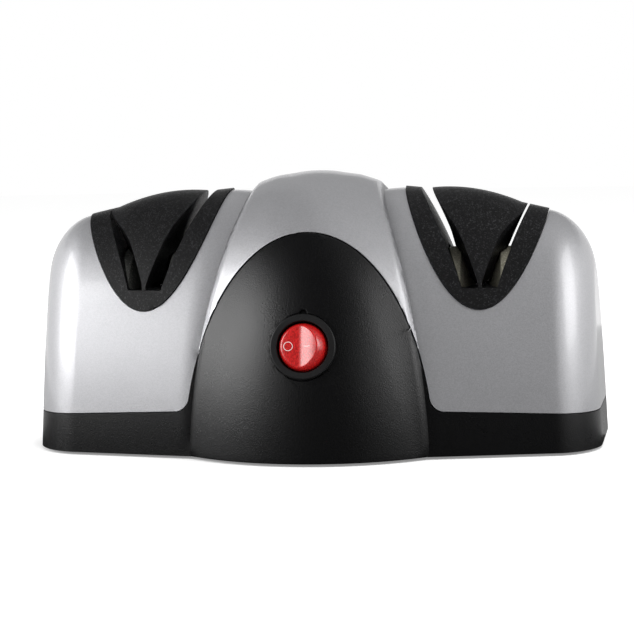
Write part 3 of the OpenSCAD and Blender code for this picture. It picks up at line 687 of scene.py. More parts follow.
def clear_edges(form, least, along, beside, rounds=4):
    """Welds corners that lie too close together along the sharp edges or beside them."""
    bmesh.ops.triangulate(form, faces=form.faces[:])
    for _ in range(rounds):
        edges = sharp_edges(form, least)
        rim = dict.fromkeys(vert for edge in edges for vert in edge.verts)
        targets = {}
        for edge in edges:
            kept, dropped = edge.verts
            if edge.calc_length() < along and kept not in targets and dropped not in targets.values():
                targets.setdefault(dropped, kept)
        for vert in [vert for vert in rim if vert not in targets]:
            for edge in vert.link_edges:
                other = edge.other_vert(vert)
                if other not in rim and edge.calc_length() < beside:
                    targets.setdefault(other, vert)
        bmesh.ops.weld_verts(form, targetmap=targets)
        bmesh.ops.dissolve_degenerate(form, dist=TINY, edges=form.edges)


def bevelled(form, edges, radius, clamp):
    """Rounds some edges. With clamp, the round grows smaller where there is no room for it."""
    bmesh.ops.bevel(form, geom=edges, offset=radius, offset_type="OFFSET", segments=3, profile=0.5,
                    affect="EDGES", material=-1, clamp_overlap=clamp, loop_slide=True)
    return form


def round_edges(form, radius, least=40, along=0.9, beside=1.8):
    """Rounds the edges that stick out by more than least degrees, once there is room beside them:
    along and beside are shares of the radius."""
    clear_edges(form, least, radius * along, radius * beside)
    return bevelled(form, sharp_edges(form, least), radius, clamp=False)


# ---- the body's form -----------------------------------------------------------------------


def turned_in(x, half_len, round_len):
    """How far a rounded end has turned in, from 0 to 1."""
    past = max(0.0, x - half_len + round_len) / round_len
    return 1 - math.sqrt(max(0.0, 1 - past * past))


def wing_radii(body, s, inset=0.0, crown=0.0, crown_x=0.0, crown_half_w=1.0):
    """Ridge line, reach to the front and back of it, and roof height at one place along the wings."""
    x = abs(s)
    end = body.half_len - inset
    turn = turned_in(x, end, body.end_round)
    roof = (body.roof_h - inset - body.roof_fall * (x / body.half_len) ** 2
            - body.corner_drop * turned_in(x, end, body.corner_round)
            + crown * max(0.0, 1 - ((x - crown_x) / crown_half_w) ** 2))
    ridge = body.ridge_y - body.ridge_sweep * x
    front = body.front_reach - inset - body.front_sweep * x - body.front_tuck * turn
    back = body.back_reach - inset - body.back_sweep * x - body.back_tuck * turn
    return ridge, front + ridge, back - ridge, roof


def wing_point(body, s, over, **options):
    """A point of the wings' surface, from its place along them and an angle over them."""
    ridge, front, back, roof = wing_radii(body, s, **options)
    reach = abs(math.cos(over)) ** (2 / body.roll_power)
    y = ridge - front * reach if math.cos(over) > 0 else ridge + back * reach
    z = roof * max(0.0, math.sin(over)) ** (2 / body.roll_power)
    return Vector((s * (1 + (body.end_splay * y - body.end_draft * z) / body.half_len), y, z))


def wings(body, stations, arch_steps, **options):
    """The long body: half a disc drawn out along X, then every point put on the wings' surface."""
    form = bmesh.new()
    bmesh.ops.create_circle(form, cap_ends=True, radius=1, segments=2 * arch_steps)
    sliced(form, (0, 0, 0), (0, -1, 0), clear_outer=True)
    upright_at_left = Matrix(((0, 0, 1, -1), (1, 0, 0, 0), (0, 1, 0, 0), (0, 0, 0, 1)))
    moved(form, upright_at_left)
    drawn_out(form, form.faces[:], (2, 0, 0))
    lengthwise = [e for e in form.edges if abs(e.verts[0].co.x - e.verts[1].co.x) > 1]
    bmesh.ops.subdivide_edges(form, edges=lengthwise, cuts=stations - 1, use_grid_fill=True)
    inset = options.get("inset", 0.0)
    flat = body.half_len - inset - body.end_round
    way = flat + body.end_round * math.pi / 2
    for vert in form.verts:
        along = abs(vert.co.x) * way
        if along > flat:
            along = flat + body.end_round * math.sin((along - flat) / body.end_round)
        over = math.atan2(vert.co.z, vert.co.y)
        vert.co = wing_point(body, math.copysign(along, vert.co.x), over, **options)
    bmesh.ops.recalc_face_normals(form, faces=form.faces)
    return form


def bulge(body, steps, rings, inset=0.0):
    """The tall egg in the middle: a quarter of a circle turned about Z, then every point put on
    the egg's surface."""
    form = bmesh.new()
    arc = chain(form, [(math.cos(up), 0, math.sin(up)) for up in quarter_turn(rings)])
    bmesh.ops.spin(form, geom=arc, axis=(0, 0, 1), cent=(0, 0, 0), angle=math.tau, steps=steps,
                   use_merge=True)
    top = [vert for vert in form.verts if vert.co.z > 1 - TINY]
    bmesh.ops.remove_doubles(form, verts=top, dist=10 * TINY)
    close_holes(form)
    for vert in form.verts:
        up = math.asin(max(0.0, min(1.0, vert.co.z)))
        about = math.atan2(vert.co.y, vert.co.x)
        z = (body.bulge_h - inset) * math.sin(up) ** (2 / body.bulge_power)
        reach = math.cos(up) ** (2 / body.bulge_power)
        depth = body.bulge_front + body.bulge_y if about < 0 else body.bulge_back - body.bulge_y
        vert.co = Vector((
            (body.bulge_half_w - inset) * reach * math.cos(about) * (1 - z / body.bulge_taper),
            body.bulge_y + (depth - inset) * reach * math.sin(about), z))
    bmesh.ops.recalc_face_normals(form, faces=form.faces)
    return form


def gap_to(across, up, radius_across, radius_up, power):
    """Distance of a point outside a superellipse, to first order; across and up are its shares."""
    whole = (across ** power + up ** power) ** (1 / power)
    slope = whole ** (1 - power) * math.hypot(across ** (power - 1) / radius_across,
                                              up ** (power - 1) / radius_up)
    return (whole - 1) / slope


def gap_to_wings(body, at):
    """Distance of a point outside the wings, in the section that it lies in."""
    s = at.x / (1 + (body.end_splay * at.y - body.end_draft * at.z) / body.half_len)
    ridge, front, back, roof = wing_radii(body, min(abs(s), body.half_len))
    reach = front if at.y < ridge else back
    return gap_to(abs(at.y - ridge) / reach, max(at.z, 0) / roof, reach, roof, body.roll_power)


def gap_to_bulge(body, at):
    """Distance of a point outside the bulge, in the upright plane through its middle and the point."""
    half_w = body.bulge_half_w * (1 - at.z / body.bulge_taper)
    depth = body.bulge_front + body.bulge_y if at.y < body.bulge_y else body.bulge_back - body.bulge_y
    across = math.hypot(at.x / half_w, (at.y - body.bulge_y) / depth)
    out = math.hypot(at.x, at.y - body.bulge_y)
    return gap_to(across, max(at.z, 0) / body.bulge_h, out / max(across, TINY), body.bulge_h,
                  body.bulge_power)


def soften_crease(form, body):
    """Fills the crease between the wings and the bulge with a round that grows with the height."""
    form.normal_update()
    lifts = []
    for vert in form.verts:
        reach = body.crease_foot + (body.crease_top - body.crease_foot) * vert.co.z / body.bulge_h
        apart = abs(gap_to_wings(body, vert.co) - gap_to_bulge(body, vert.co))
        beside = eased((abs(vert.co.x) - body.crease_from) / body.crease_from)
        lifts.append(max(0.0, 1 - apart / reach) ** 2 * reach / 4 * beside)
    for vert, lift in zip(form.verts, lifts):
        if vert.co.z > MM:
            vert.co += vert.normal * lift


def outer_form(body):
    """The outside of both shells."""
    form = combined(wings(body, body.stations, body.arch_steps), "UNION",
                    bulge(body, body.bulge_steps, body.bulge_rings))
    soften_crease(form, body)
    return form


def inner_form(body, stations=48, arch_steps=36, bulge_steps=64, bulge_rings=20):
    """The hollow of both shells, a wall inside their outer form and with fewer facets."""
    return combined(wings(body, stations, arch_steps, inset=body.wall), "UNION",
                    bulge(body, bulge_steps, bulge_rings, inset=body.wall))


# ---- the seam ------------------------------------------------------------------------------


def arch_point(seam, turn, out):
    """A point at a distance outside the dome's arch, seen from the front."""
    half_w, high = seam.dome_half_w, seam.dome_h
    normal = Vector((math.cos(turn) / half_w, math.sin(turn) / high)).normalized()
    return Vector((half_w * math.cos(turn), high * math.sin(turn))) + normal * out


def arch_foot(seam, highest=1.2):
    """Where the dome's arch ends and its foot's round begins: the angle on the arch and the middle
    of the round, which touches the base's edge."""
    def touches(turn):
        at = arch_point(seam, turn, seam.foot_round)
        line = seam.height - seam.cross - seam.fall * at.x
        return (at.y - line) * math.cos(math.atan(seam.fall)) <= seam.foot_round

    turn = last_where(touches, 0.0, highest)
    return turn, arch_point(seam, turn, seam.foot_round)


def arch_outline(seam, grow=0.0, arch_points=72, round_points=9, below=4 * MM):
    """The dome's arch with its two rounded feet, as seen from the front."""
    turn, middle = arch_foot(seam)
    radius = seam.foot_round - grow
    low = math.pi * 1.5 - math.atan(seam.fall)
    inner = math.atan2(math.sin(turn) / seam.dome_h, math.cos(turn) / seam.dome_half_w) + math.pi
    right = []
    for step in range(round_points + 1):
        at = low + (inner - low) * step / round_points
        right.append(middle + Vector((math.cos(at), math.sin(at))) * radius)
    for step in range(1, arch_points + 1):
        at = turn + (math.pi / 2 - turn) * step / arch_points
        right.append(arch_point(seam, at, grow))
    left = [Vector((-point.x, point.y)) for point in reversed(right[:-1])]
    down = Vector((0, below))
    return [right[0] - down, *right, *left, left[-1] - down]


def dome_zone(body, seam, grow=0.0):
    """The dome's arch, drawn out from before the body to the bulge's middle."""
    return drawn_along_y(arch_outline(seam, grow), -1.1 * FAR, body.bulge_y)


def upper_zone(body, seam, grow):
    """All that lies over the seam and a reveal: what the silver shell may fill."""
    edge = seam.height - seam.fall * FAR + grow
    over = drawn_along_y([(0, seam.height + grow), (FAR, edge), (FAR, FAR), (-FAR, FAR), (-FAR, edge)],
                         -FAR, FAR)
    return combined(over, "DIFFERENCE", dome_zone(body, seam, grow))


def lower_zone(body, seam):
    """All that lies under the seam: what the black base may fill."""
    edge = seam.height - seam.fall * FAR
    under = drawn_along_y([(-FAR, -FAR), (FAR, -FAR), (FAR, edge), (0, seam.height), (-FAR, edge)],
                          -FAR, FAR)
    return combined(under, "UNION", dome_zone(body, seam))


# ---- knife guides --------------------------------------------------------------------------


def guide_outline(guide, side, grow=0.0, steps=72):
    """The guide's U: a parabola, closed far above the roof."""
    points = []
    for step in range(steps + 1):
        x = guide.reach * (2 * step / steps - 1)
        outward = Vector((2 * x / guide.spread, -1)).normalized() * grow
        points.append((side * guide.middle + x + outward.x,
                       guide.low + x * x / guide.spread + outward.y))
    right, left = points[-1][0], points[0][0]
    return [*points, (right, OVER_ALL), (left, OVER_ALL)]


def leg_wall(guide, height):
    """Distance of a slot's outer wall from the guide's middle, at a height over the slot's floor."""
    return guide.slot_foot + guide.slot_lean * height + guide.slot_bend * height ** 2


def wedge_wall(guide, height):
    """Distance of a slot's inner wall from the guide's middle: half the wedge."""
    pinch = guide.mouth_pinch * max(0.0, height - guide.mouth_from)
    return max(guide.web_half, leg_wall(guide, height) - guide.slot_w + pinch)


def slot_heights(guide, steps=28, crowding=1.3):
    """Heights over the slot's floor, closer together low down."""
    return [guide.slot_rise * (step / steps) ** crowding for step in range(steps + 1)]


def slot_outline(guide, side, way):
    """One slot of the guide on a side of the body, seen from the front."""
    middle = side * guide.middle
    out = [(middle + way * leg_wall(guide, h), guide.slot_floor + h) for h in slot_heights(guide)]
    back = [(middle + way * wedge_wall(guide, h), guide.slot_floor + h)
            for h in reversed(slot_heights(guide))]
    return out + back


def eased(part):
    """A soft rise from 0 to 1."""
    part = max(0.0, min(1.0, part))
    return part * part * (3 - 2 * part)


def swell_wedge(form, guide, side):
    """Lets the wedge grow wider deep in the guide: much in the outer slot, and in the inner one
    low down. The inner slot's other wall draws back with the depth."""
    front, rear, rise, foot = -18 * MM, 40 * MM, 16 * MM, 3 * MM
    face, back, slice_w = -44 * MM, 48 * MM, 4 * MM
    for step in range(round((back - face) / slice_w) + 1):
        sliced(form, (0, face + slice_w * step, 0), (0, 1, 0))
    for vert in form.verts:
        height = vert.co.z - guide.slot_floor
        away = side * vert.co.x - guide.middle
        leg, wedge = leg_wall(guide, height), wedge_wall(guide, height)
        if abs(away) < (leg + wedge) / 2:
            inner = guide.inner_swell * max(0.0, 1 - height / guide.swell_end)
            most = min(guide.outer_swell if away > 0 else inner, max(0.0, leg - wedge - guide.least_slot))
            along = eased((vert.co.y - front) / rise) * eased((rear - vert.co.y) / rise)
            low = eased(height / foot)
            vert.co.x += math.copysign(most * along * low, away * side)
        elif away < 0:
            deep = max(0.0, min(1.0, (vert.co.y - face) / (back - face)))
            vert.co.x -= side * guide.draw_back * deep
    return form


def wedge_outline(guide, side, overlap=0.05 * MM):
    """The wedge between the two slots, seen from the front and reaching a little under their walls."""
    middle = side * guide.middle
    right = [(middle + wedge_wall(guide, h) - overlap, guide.slot_floor + h) for h in slot_heights(guide)]
    left = [(2 * middle - x, z) for x, z in reversed(right)]
    return right + left


def wheel_room(wheel, guide, side, way, spare=0.4 * MM, depth=34 * MM):
    """The room that a wheel turns in, out to the guide's side."""
    outer_r = wheel.radius + wheel.clear + spare
    face = wheel.gap + (wheel.radius - wheel.root_r) * math.tan(wheel.face_angle)
    room = turned_on_z([(0, wheel.gap - wheel.clear), (wheel.root_r, wheel.gap - wheel.clear),
                        (outer_r, face - wheel.clear), (outer_r, depth), (0, depth)])
    turn = Matrix.Rotation(way * math.pi / 2, 4, "Y")
    place = Matrix.Translation((side * guide.middle, wheel.shaft_y, wheel.shaft_z))
    return moved(room, place @ turn)


def guide_form(sizes, side, stations=160, arch_steps=120):
    """One guide: legs cut to the wings' form, a crowned wedge, two slots and the wheels' room."""
    body, guide, wheel = sizes.body, sizes.guide, sizes.wheel
    proud = wings(body, stations, arch_steps, inset=-guide.proud)
    legs = combined(drawn_along_y(guide_outline(guide, side), -FAR, FAR), "INTERSECT", proud)
    crowned = wings(body, stations, arch_steps, inset=-guide.proud, crown=guide.crown_rise,
                    crown_x=guide.middle, crown_half_w=guide.crown_half_w)
    wedge = swell_wedge(drawn_along_y(wedge_outline(guide, side), -FAR, FAR), guide, side)
    wedge = combined(wedge, "INTERSECT", crowned)
    form = combined(legs, "UNION", wedge)
    cuts = [swell_wedge(drawn_along_y(slot_outline(guide, side, way), -FAR, FAR), guide, side)
            for way in (-1, 1)]
    cuts += [wheel_room(wheel, guide, side, way) for way in (-1, 1)]
    return combined(form, "DIFFERENCE", *cuts)


# ---- the switch's place --------------------------------------------------------------------


def switch_place(body, switch, land_rim=0.5 * MM):
    """The switch's own frame: Z out of the dome, Y up the dome, on the flat land under its bezel."""
    power = body.bulge_power
    rise = switch.height / body.bulge_h
    reach = (1 - rise ** power) ** (1 / power)
    depth = body.bulge_front + body.bulge_y
    tilt = math.atan(depth / body.bulge_h * rise ** (power - 1) * reach ** (1 - power))
    land = (switch.bezel_r + land_rim) ** 2 / (2 * body.bulge_front)
    return (Matrix.Translation((0, body.bulge_y - depth * reach, switch.height))
            @ Matrix.Rotation(math.pi / 2 - tilt, 4, "X") @ Matrix.Translation((0, 0, -land)))


def switch_cuts(sizes, through=10 * MM, land_play=0.3 * MM, hole_play=0.2 * MM, notch_r=1.5 * MM,
                notch_out=0.1 * MM, notch_depth=0.9 * MM):
    """The dome's flat land, its round hole and the notch that keys the switch."""
    switch = sizes.switch
    place = switch_place(sizes.body, switch)
    notch_at = (0, switch.bezel_r + notch_out)
    return [moved(rod(switch.bezel_r + land_play, 0, through, segments=128), place),
            moved(rod(switch.barrel_r + hole_play, -through, 2 * MM, segments=96), place),
            moved(rod(notch_r, -notch_depth, through, notch_at), place)]


def foot_seats(base, side, play=0.2 * MM, depth=1.2 * MM):
    """Shallow seats of the rubber feet at one end."""
    return [rod(base.foot_r + play, -MM, base.stand + depth, (side * base.foot_x, y))
            for y in (-base.foot_front, base.foot_rear)]


def screw_wells(base, side, head_r=3.5 * MM, head_depth=5 * MM, shank_r=1.8 * MM, top=16 * MM):
    """Wells of the housing screws at one end: room for the head, and the shank's hole."""
    wells = []
    for y in (-base.screw_front, base.screw_rear):
        wells.append(rod(head_r, -MM, base.stand + head_depth, (side * base.screw_x, y)))
        wells.append(rod(shank_r, -MM, top, (side * base.screw_x, y)))
    return wells


def cooling_slots(apart=5 * MM, half_w=1.2 * MM, front=-8 * MM, rear=12 * MM, top=9 * MM):
    """Seven slots side by side in the underside."""
    return [block((index * apart - half_w, front, -MM), (index * apart + half_w, rear, top))
            for index in range(-3, 4)]


def outlet_cuts(sizes, seat=0.4 * MM, neck=1.6 * MM, flange=3.4 * MM, inward=8 * MM, outward=12 * MM):
    """The cord's outlet in the back and the flat seat of its bush."""
    base = sizes.base
    outlet = (Matrix.Translation((0, sizes.body.bulge_back - seat, base.outlet_z))
              @ Matrix.Rotation(-math.pi / 2, 4, "X"))
    return [moved(rod(base.outlet_r + neck, -inward, outward), outlet),
            moved(rod(base.outlet_r + flange, 0, 10 * MM), outlet)]


def base_cuts(sizes):
    """All that is cut from the black base's underside and back."""
    cuts = []
    for side in (-1, 1):
        cuts += foot_seats(sizes.base, side) + screw_wells(sizes.base, side)
    return cuts + cooling_slots() + outlet_cuts(sizes)


def bezel_form(switch, well_play=0.4 * MM, well_depth=9.5 * MM, barrel_len=15 * MM,
               rim_round=0.6 * MM, lip=0.35 * MM, over_land=0.02 * MM):
    """The bezel's broad ring, the well that the rocker turns in and the barrel behind it."""
    well_r, top = switch.rocker_r + well_play, switch.bezel_t
    rim = [(switch.bezel_r - rim_round + rim_round * math.cos(a),
            top - rim_round + rim_round * math.sin(a)) for a in quarter_turn(8)]
    inner = [(well_r + lip - lip * math.sin(a), top - lip + lip * math.cos(a)) for a in quarter_turn(5)]
    profile = [(0, -well_depth), (0, -barrel_len), (switch.barrel_r, -barrel_len),
               (switch.barrel_r, over_land), (switch.bezel_r, over_land), *rim, *inner,
               (well_r, -well_depth)]
    return turned_on_z(profile, steps=128)


def rocker_face(x, middle=4.5 * MM, slope=0.38, bend=32, crease=1.2 * MM):
    """Height of the rocker's face over its axis: two gently domed halves that meet in a crease."""
    away = math.hypot(x, crease) - crease
    return middle + slope * away - bend * away ** 2


def rocker_rim(switch, turn):
    """Radius at which the rocker's face meets its ball."""
    def inside(reach):
        return math.hypot(reach, rocker_face(reach * math.cos(turn))) < switch.rocker_r

    return last_where(inside, 0.0, switch.rocker_r)


def rocker_form(switch, steps=128, rings=14, skirt=-4.5 * MM, rim_round=0.3 * MM, top_level=0.999):
    """A drum whose top becomes the two halves of the face, and whose side becomes a ball."""
    top = [(1 - ring / rings, 1.0) for ring in range(rings)]
    side = [(1.0, 1 - ring / rings) for ring in range(rings)]
    form = turned_on_z([(0, 1.0), *reversed(top), *side[1:], (1.0, 0.0), (0, 0.0)], steps=steps)
    rims = {}
    low = math.asin(skirt / switch.rocker_r)
    for vert in form.verts:
        turn = math.atan2(vert.co.y, vert.co.x)
        key = round(turn, 4)
        if key not in rims:
            rims[key] = rocker_rim(switch, turn)
        rim = rims[key]
        share_out, level = vert.co.xy.length, vert.co.z
        if level > top_level:
            x, y = rim * share_out * math.cos(turn), rim * share_out * math.sin(turn)
            vert.co = (x, y, rocker_face(x))
            continue
        high = math.asin(rocker_face(rim * math.cos(turn)) / switch.rocker_r)
        up = low + (high - low) * level
        out = switch.rocker_r * math.cos(up) * share_out
        vert.co = (out * math.cos(turn), out * math.sin(turn), switch.rocker_r * math.sin(up))
    bmesh.ops.recalc_face_normals(form, faces=form.faces)
    rim_edges = [edge for edge in sharp_edges(form, least=25) if edge.verts[0].co.z > 0]
    return bevelled(form, rim_edges, rim_round, clamp=True)


def rocker_marks(ring_x=-4.0 * MM, ring_r=1.6 * MM, stroke=0.2 * MM, bar=(1.5 * MM, 3.9 * MM),
                 proud=0.02 * MM, steps=12):
    """The two printed marks: a ring on one half and a bar on the other, just proud of the faces."""
    form = turned_on_z([(ring_r - stroke, -proud), (ring_r, -proud), (ring_r, proud),
                        (ring_r - stroke, proud)], steps=64)
    for vert in form.verts:
        vert.co.x += ring_x
        vert.co.z += rocker_face(vert.co.x)
    along = [bar[0] + (bar[1] - bar[0]) * step / steps for step in range(steps + 1)]
    over = [(x, rocker_face(x) + proud) for x in along]
    under = [(x, rocker_face(x) - proud) for x in reversed(along)]
    return joined(form, drawn_along_y(over + under, -stroke / 2, stroke / 2))


# ---- operators -----------------------------------------------------------------------------


class SHARPENER_OT_top_shell(bpy.types.Operator):
    """Silver upper shell with its arch and two U cut-outs"""
    bl_idname = "sharpener.top_shell"
    bl_label = "Upper shell"

    def execute(self, context):
        sizes = context.scene.sharpener
        body = sizes.body
        form = combined(outer_form(body), "INTERSECT", upper_zone(body, sizes.seam, body.seam_gap))
        cuts = [drawn_along_y(guide_outline(sizes.guide, side, body.seam_gap), -FAR, FAR)
                for side in (-1, 1)]
        form = combined(form, "DIFFERENCE", inner_form(body), *cuts)
        round_edges(form, body.lip)
        piece_from(form, "upper_shell", silver_paint(sizes.colours.silver), "housing", "silver_paint",
                   "top_shell", crisp=60)
        return {"FINISHED"}


class SHARPENER_OT_base_shell(bpy.types.Operator):
    """Black lower moulding with the dome that carries the switch"""
    bl_idname = "sharpener.base_shell"
    bl_label = "Lower shell"

    def execute(self, context):
        sizes = context.scene.sharpener
        body, base = sizes.body, sizes.base
        form = cut_off_below(outer_form(body), base.stand)
        form = combined(form, "INTERSECT", lower_zone(body, sizes.seam))
        form = combined(form, "DIFFERENCE", cut_off_below(inner_form(body), base.stand + body.wall))
        form = combined(form, "DIFFERENCE", *switch_cuts(sizes))
        form = combined(form, "DIFFERENCE", *base_cuts(sizes))
        round_edges(form, body.lip)
        material = moulded_black("satin_black", sizes.colours.black, grain_per_m=2100,
                                 grain_depth=0.1 * MM, roughness=0.22, specular=0.38)
        piece_from(form, "lower_shell", material, "housing", "black_moulding", "base_shell", crisp=60)
        return {"FINISHED"}


class SHARPENER_OT_knife_guides(bpy.types.Operator):
    """Two knife guides with two slots each"""
    bl_idname = "sharpener.knife_guides"
    bl_label = "Knife guides"

    def execute(self, context):
        sizes = context.scene.sharpener
        material = sparkling_black("grained_black", sizes.colours.guide)
        for name, side in (("left", -1), ("right", 1)):
            form = round_edges(guide_form(sizes, side), sizes.guide.lip)
            piece_from(form, "knife_guide_" + name, material, "housing", "grained_black", "guide_" + name)
        return {"FINISHED"}


class SHARPENER_OT_switch(bpy.types.Operator):
    """Round bezel with its barrel, and the red rocker with its two marks"""
    bl_idname = "sharpener.switch"
    bl_label = "Switch"

    def execute(self, context):
        sizes = context.scene.sharpener
        switch, tint = sizes.switch, sizes.colours
        place = switch_place(sizes.body, switch)
        seat = place @ Matrix.Translation((0, 0, -switch.pivot)) @ Matrix.Rotation(-switch.lean, 4, "Y")
        black = moulded_black("satin_switch_black", tint.guide, grain_per_m=3000,
                              grain_depth=0.01 * MM, roughness=0.42, specular=0.34)
        piece_from(moved(bezel_form(switch), place), "switch_bezel", black, "housing", "switch_black",
                   "switch_body")
        piece_from(moved(rocker_form(switch), seat), "red_rocker", clear_red(tint.red), "rocker",
                   "red_rocker", "switch_rocker", crisp=30)
        piece_from(moved(rocker_marks(), seat), "rocker_marks", pale_print(tint.mark), "rocker",
                   "red_rocker")
        return {"FINISHED"}


class SHARPENER_OT_inner_finishes(bpy.types.Operator):
    """Finishes of the frame's own pieces: feet, screws, motor, wheels and switch"""
    bl_idname = "sharpener.inner_finishes"
    bl_label = "Inner finishes"

    def execute(self, context):
        tint = context.scene.sharpener.colours
        black = moulded_black("switch_black", tint.guide, grain_per_m=2200, grain_depth=0.01 * MM,
                              roughness=0.30, specular=0.4)
        by_slot = {
            "foot_rubber": rubber(tint.rubber),
            "plated_steel": plated("plated_steel", tint.steel, roughness=0.28),
            "ground_steel": plated("ground_steel", tint.steel, roughness=0.18, along_x=True),
            "core_steel": laminated(tint.steel),
            "copper": wound_wire(tint.copper),
            "sintered_bronze": plated("sintered_bronze", tint.bronze, roughness=0.42),
            "die_cast": plated("die_cast", tint.cast, roughness=0.45),
            "brown_moulding": plain_moulding("brown_moulding", tint.brown, roughness=0.4),
            "carbon": plain_moulding("carbon", tint.coarse, roughness=0.5, specks_per_m=2400),
            "capacitor_yellow": plain_moulding("capacitor_yellow", tint.yellow, roughness=0.3),
            "white_nylon": plain_moulding("white_nylon", tint.nylon, roughness=0.4),
            "coarse_abrasive": abrasive("coarse_abrasive", tint.coarse, grit_per_m=2200),
            "fine_abrasive": abrasive("fine_abrasive", tint.fine, grit_per_m=4200),
            "switch_black": black,
            "red_rocker": clear_red(tint.red),
            "tinned_brass": plated("tinned_brass", tint.bronze, roughness=0.3),
            "lamp_glass": plain_moulding("lamp_glass", tint.lamp, roughness=0.15),
        }
        slots = {part["node"]: part["material_slot"] for part in frame["record"]["subparts"]}
        for name, node in frame["nodes"].items():
            finish = by_slot.get(slots[name])
            if finish is None:
                continue
            if not node.data.materials:
                node.data.materials.append(finish)
            for slot in node.material_slots:
                slot.material = finish
        return {"FINISHED"}


class SHARPENER_OT_stage(bpy.types.Operator):
    """Camera of the photograph, white floor, soft lights and the studio's dark side"""
    bl_idname = "sharpener.stage"
    bl_label = "Stage"

    def execute(self, context):
        make_camera(context.scene)
        make_floor()
        make_world(context.scene)
        make_lights()
        context.scene.view_settings.view_transform = "Standard"
        return {"FINISHED"}


class SHARPENER_PT_panel(bpy.types.Panel):
    """Builds the sharpener piece by piece"""
    bl_idname = "SHARPENER_PT_panel"
    bl_label = "Knife sharpener"
    bl_space_type = "VIEW_3D"
    bl_region_type = "UI"
    bl_category = "Sharpener"

    def draw(self, context):
        for operator in OPERATORS:
            self.layout.operator(operator.bl_idname)


# ---- stage ---------------------------------------------------------------------------------


def make_camera(scene):
    """The photograph's viewpoint, fitted to the body's outline."""
    eye = Vector((0.0798, -0.695, 0.1108))
    yaw, pitch, roll = math.radians(6.6), math.radians(5.13), math.radians(-0.89)
    focal_pixels = 1889.8
    ahead = Vector((-math.sin(yaw) * math.cos(pitch), math.cos(yaw) * math.cos(pitch), -math.sin(pitch)))
    right = Vector((math.cos(yaw), math.sin(yaw), 0))
    up = right.cross(ahead)
    across = right * math.cos(roll) + up * math.sin(roll)
    upward = up * math.cos(roll) - right * math.sin(roll)
    data = bpy.data.cameras.new("camera")
    data.sensor_fit = "HORIZONTAL"
    data.sensor_width = 36
    data.lens = data.sensor_width * focal_pixels / IMAGE_WIDTH
    camera = bpy.data.objects.new("camera", data)
    turn = Matrix((across, upward, -ahead)).transposed().to_4x4()
    camera.matrix_world = Matrix.Translation(eye) @ turn
    scene.collection.objects.link(camera)
    scene.camera = camera


def stage_object(name, form, material):
    mesh = mesh_of(form, name)
    mesh.materials.append(material)
    thing = bpy.data.objects.new(name, mesh)
    bpy.context.scene.collection.objects.link(thing)
    return thing


def seen_directly(tree):
    """1 for what the camera sees, also in a reflection or through something clear."""
    ray = tree.node("ShaderNodeLightPath", {}, {})
    seen = ray["Is Camera Ray"].math("MAXIMUM", ray["Is Camera Ray"], ray["Is Glossy Ray"])
    return seen.math("MAXIMUM", seen, ray["Is Transmission Ray"])


def make_floor(half_len=0.108, half_w=0.058, least=0.25, more=0.37, edge=0.96, fade=0.16, reach=4):
    """A wide pale floor that keeps the shadow. Where it is seen it glows, and less so under the body and
    in a soft band round it, in an ellipse of half_len by half_w: that dimming is a painted contact shadow."""
    finish = Finish("floor")
    seen = seen_directly(finish)
    shares = finish.stretched(1 / half_len, 1 / half_w, 1)
    away = finish.node("ShaderNodeVectorMath", {"operation": "LENGTH"}, {0: shares})["Value"]
    # Painted contact shadow: the glow is only least inside the ellipse, and grows by more past its edge.
    glow = least + away.above(edge, fade) * more
    plain = finish.node("ShaderNodeBsdfDiffuse", {}, {"Color": (0.80, 0.80, 0.80, 1)})["BSDF"]
    white = finish.node("ShaderNodeEmission", {}, {"Color": (1, 1, 1, 1), "Strength": seen * glow})
    both = finish.node("ShaderNodeAddShader", {}, {0: plain, 1: white["Emission"]})["Shader"]
    form = bmesh.new()
    bmesh.ops.create_circle(form, cap_ends=True, radius=reach, segments=64)
    stage_object("floor", form, finish.shown(both))


def make_world(scene, light=0.45):
    """White where it is seen, and an even grey light on everything else."""
    world = bpy.data.worlds.new("studio")
    world.use_nodes = True
    scene.world = world
    sky = Nodes(world.node_tree)
    level = light + seen_directly(sky) * (1 - light)
    white = sky.node("ShaderNodeBackground", {}, {"Color": (1, 1, 1, 1), "Strength": level})
    sky.node("ShaderNodeOutputWorld", {}, {"Surface": white["Background"]})


def swept_sheet(name, points, azimuths, steps, grey):
    """A grey sheet that a chain of points sweeps round Z, and that only reflections see."""
    finish = Finish(name)
    glow = finish.node("ShaderNodeEmission", {}, {"Color": (grey, grey, grey, 1), "Strength": 1})
    form = bmesh.new()
    bmesh.ops.spin(form, geom=chain(form, points), axis=(0, 0, 1), cent=(0, 0, 0),
                   angle=math.radians(azimuths[1] - azimuths[0]), steps=steps)
    only_reflected(stage_object(name, form, finish.shown(glow["Emission"])))


def flag(name, azimuths, elevations, distance, grey, rows=16):
    """A grey part of a large shell round the object, which only reflections see."""
    low, high = elevations
    start = math.radians(azimuths[0])
    rise = [math.radians(low + (high - low) * row / rows) for row in range(rows + 1)]
    arc = [(distance * math.sin(start) * math.cos(e), -distance * math.cos(start) * math.cos(e),
            distance * math.sin(e)) for e in rise]
    swept_sheet(name, arc, azimuths, steps=48, grey=grey)


def bench_sector(azimuths, near, far, grey, over_floor=MM / 2):
    """A grey sector of the bench, which only reflections see."""
    start = math.radians(azimuths[0])
    ends = [(reach * math.sin(start), -reach * math.cos(start), over_floor) for reach in (near, far)]
    swept_sheet("dark_bench", ends, azimuths, steps=24, grey=grey)


def only_reflected(sheet):
    """Hides a sheet from everything but reflections."""
    sheet.visible_camera = False
    sheet.visible_diffuse = False
    sheet.visible_shadow = False
    sheet.visible_transmission = False


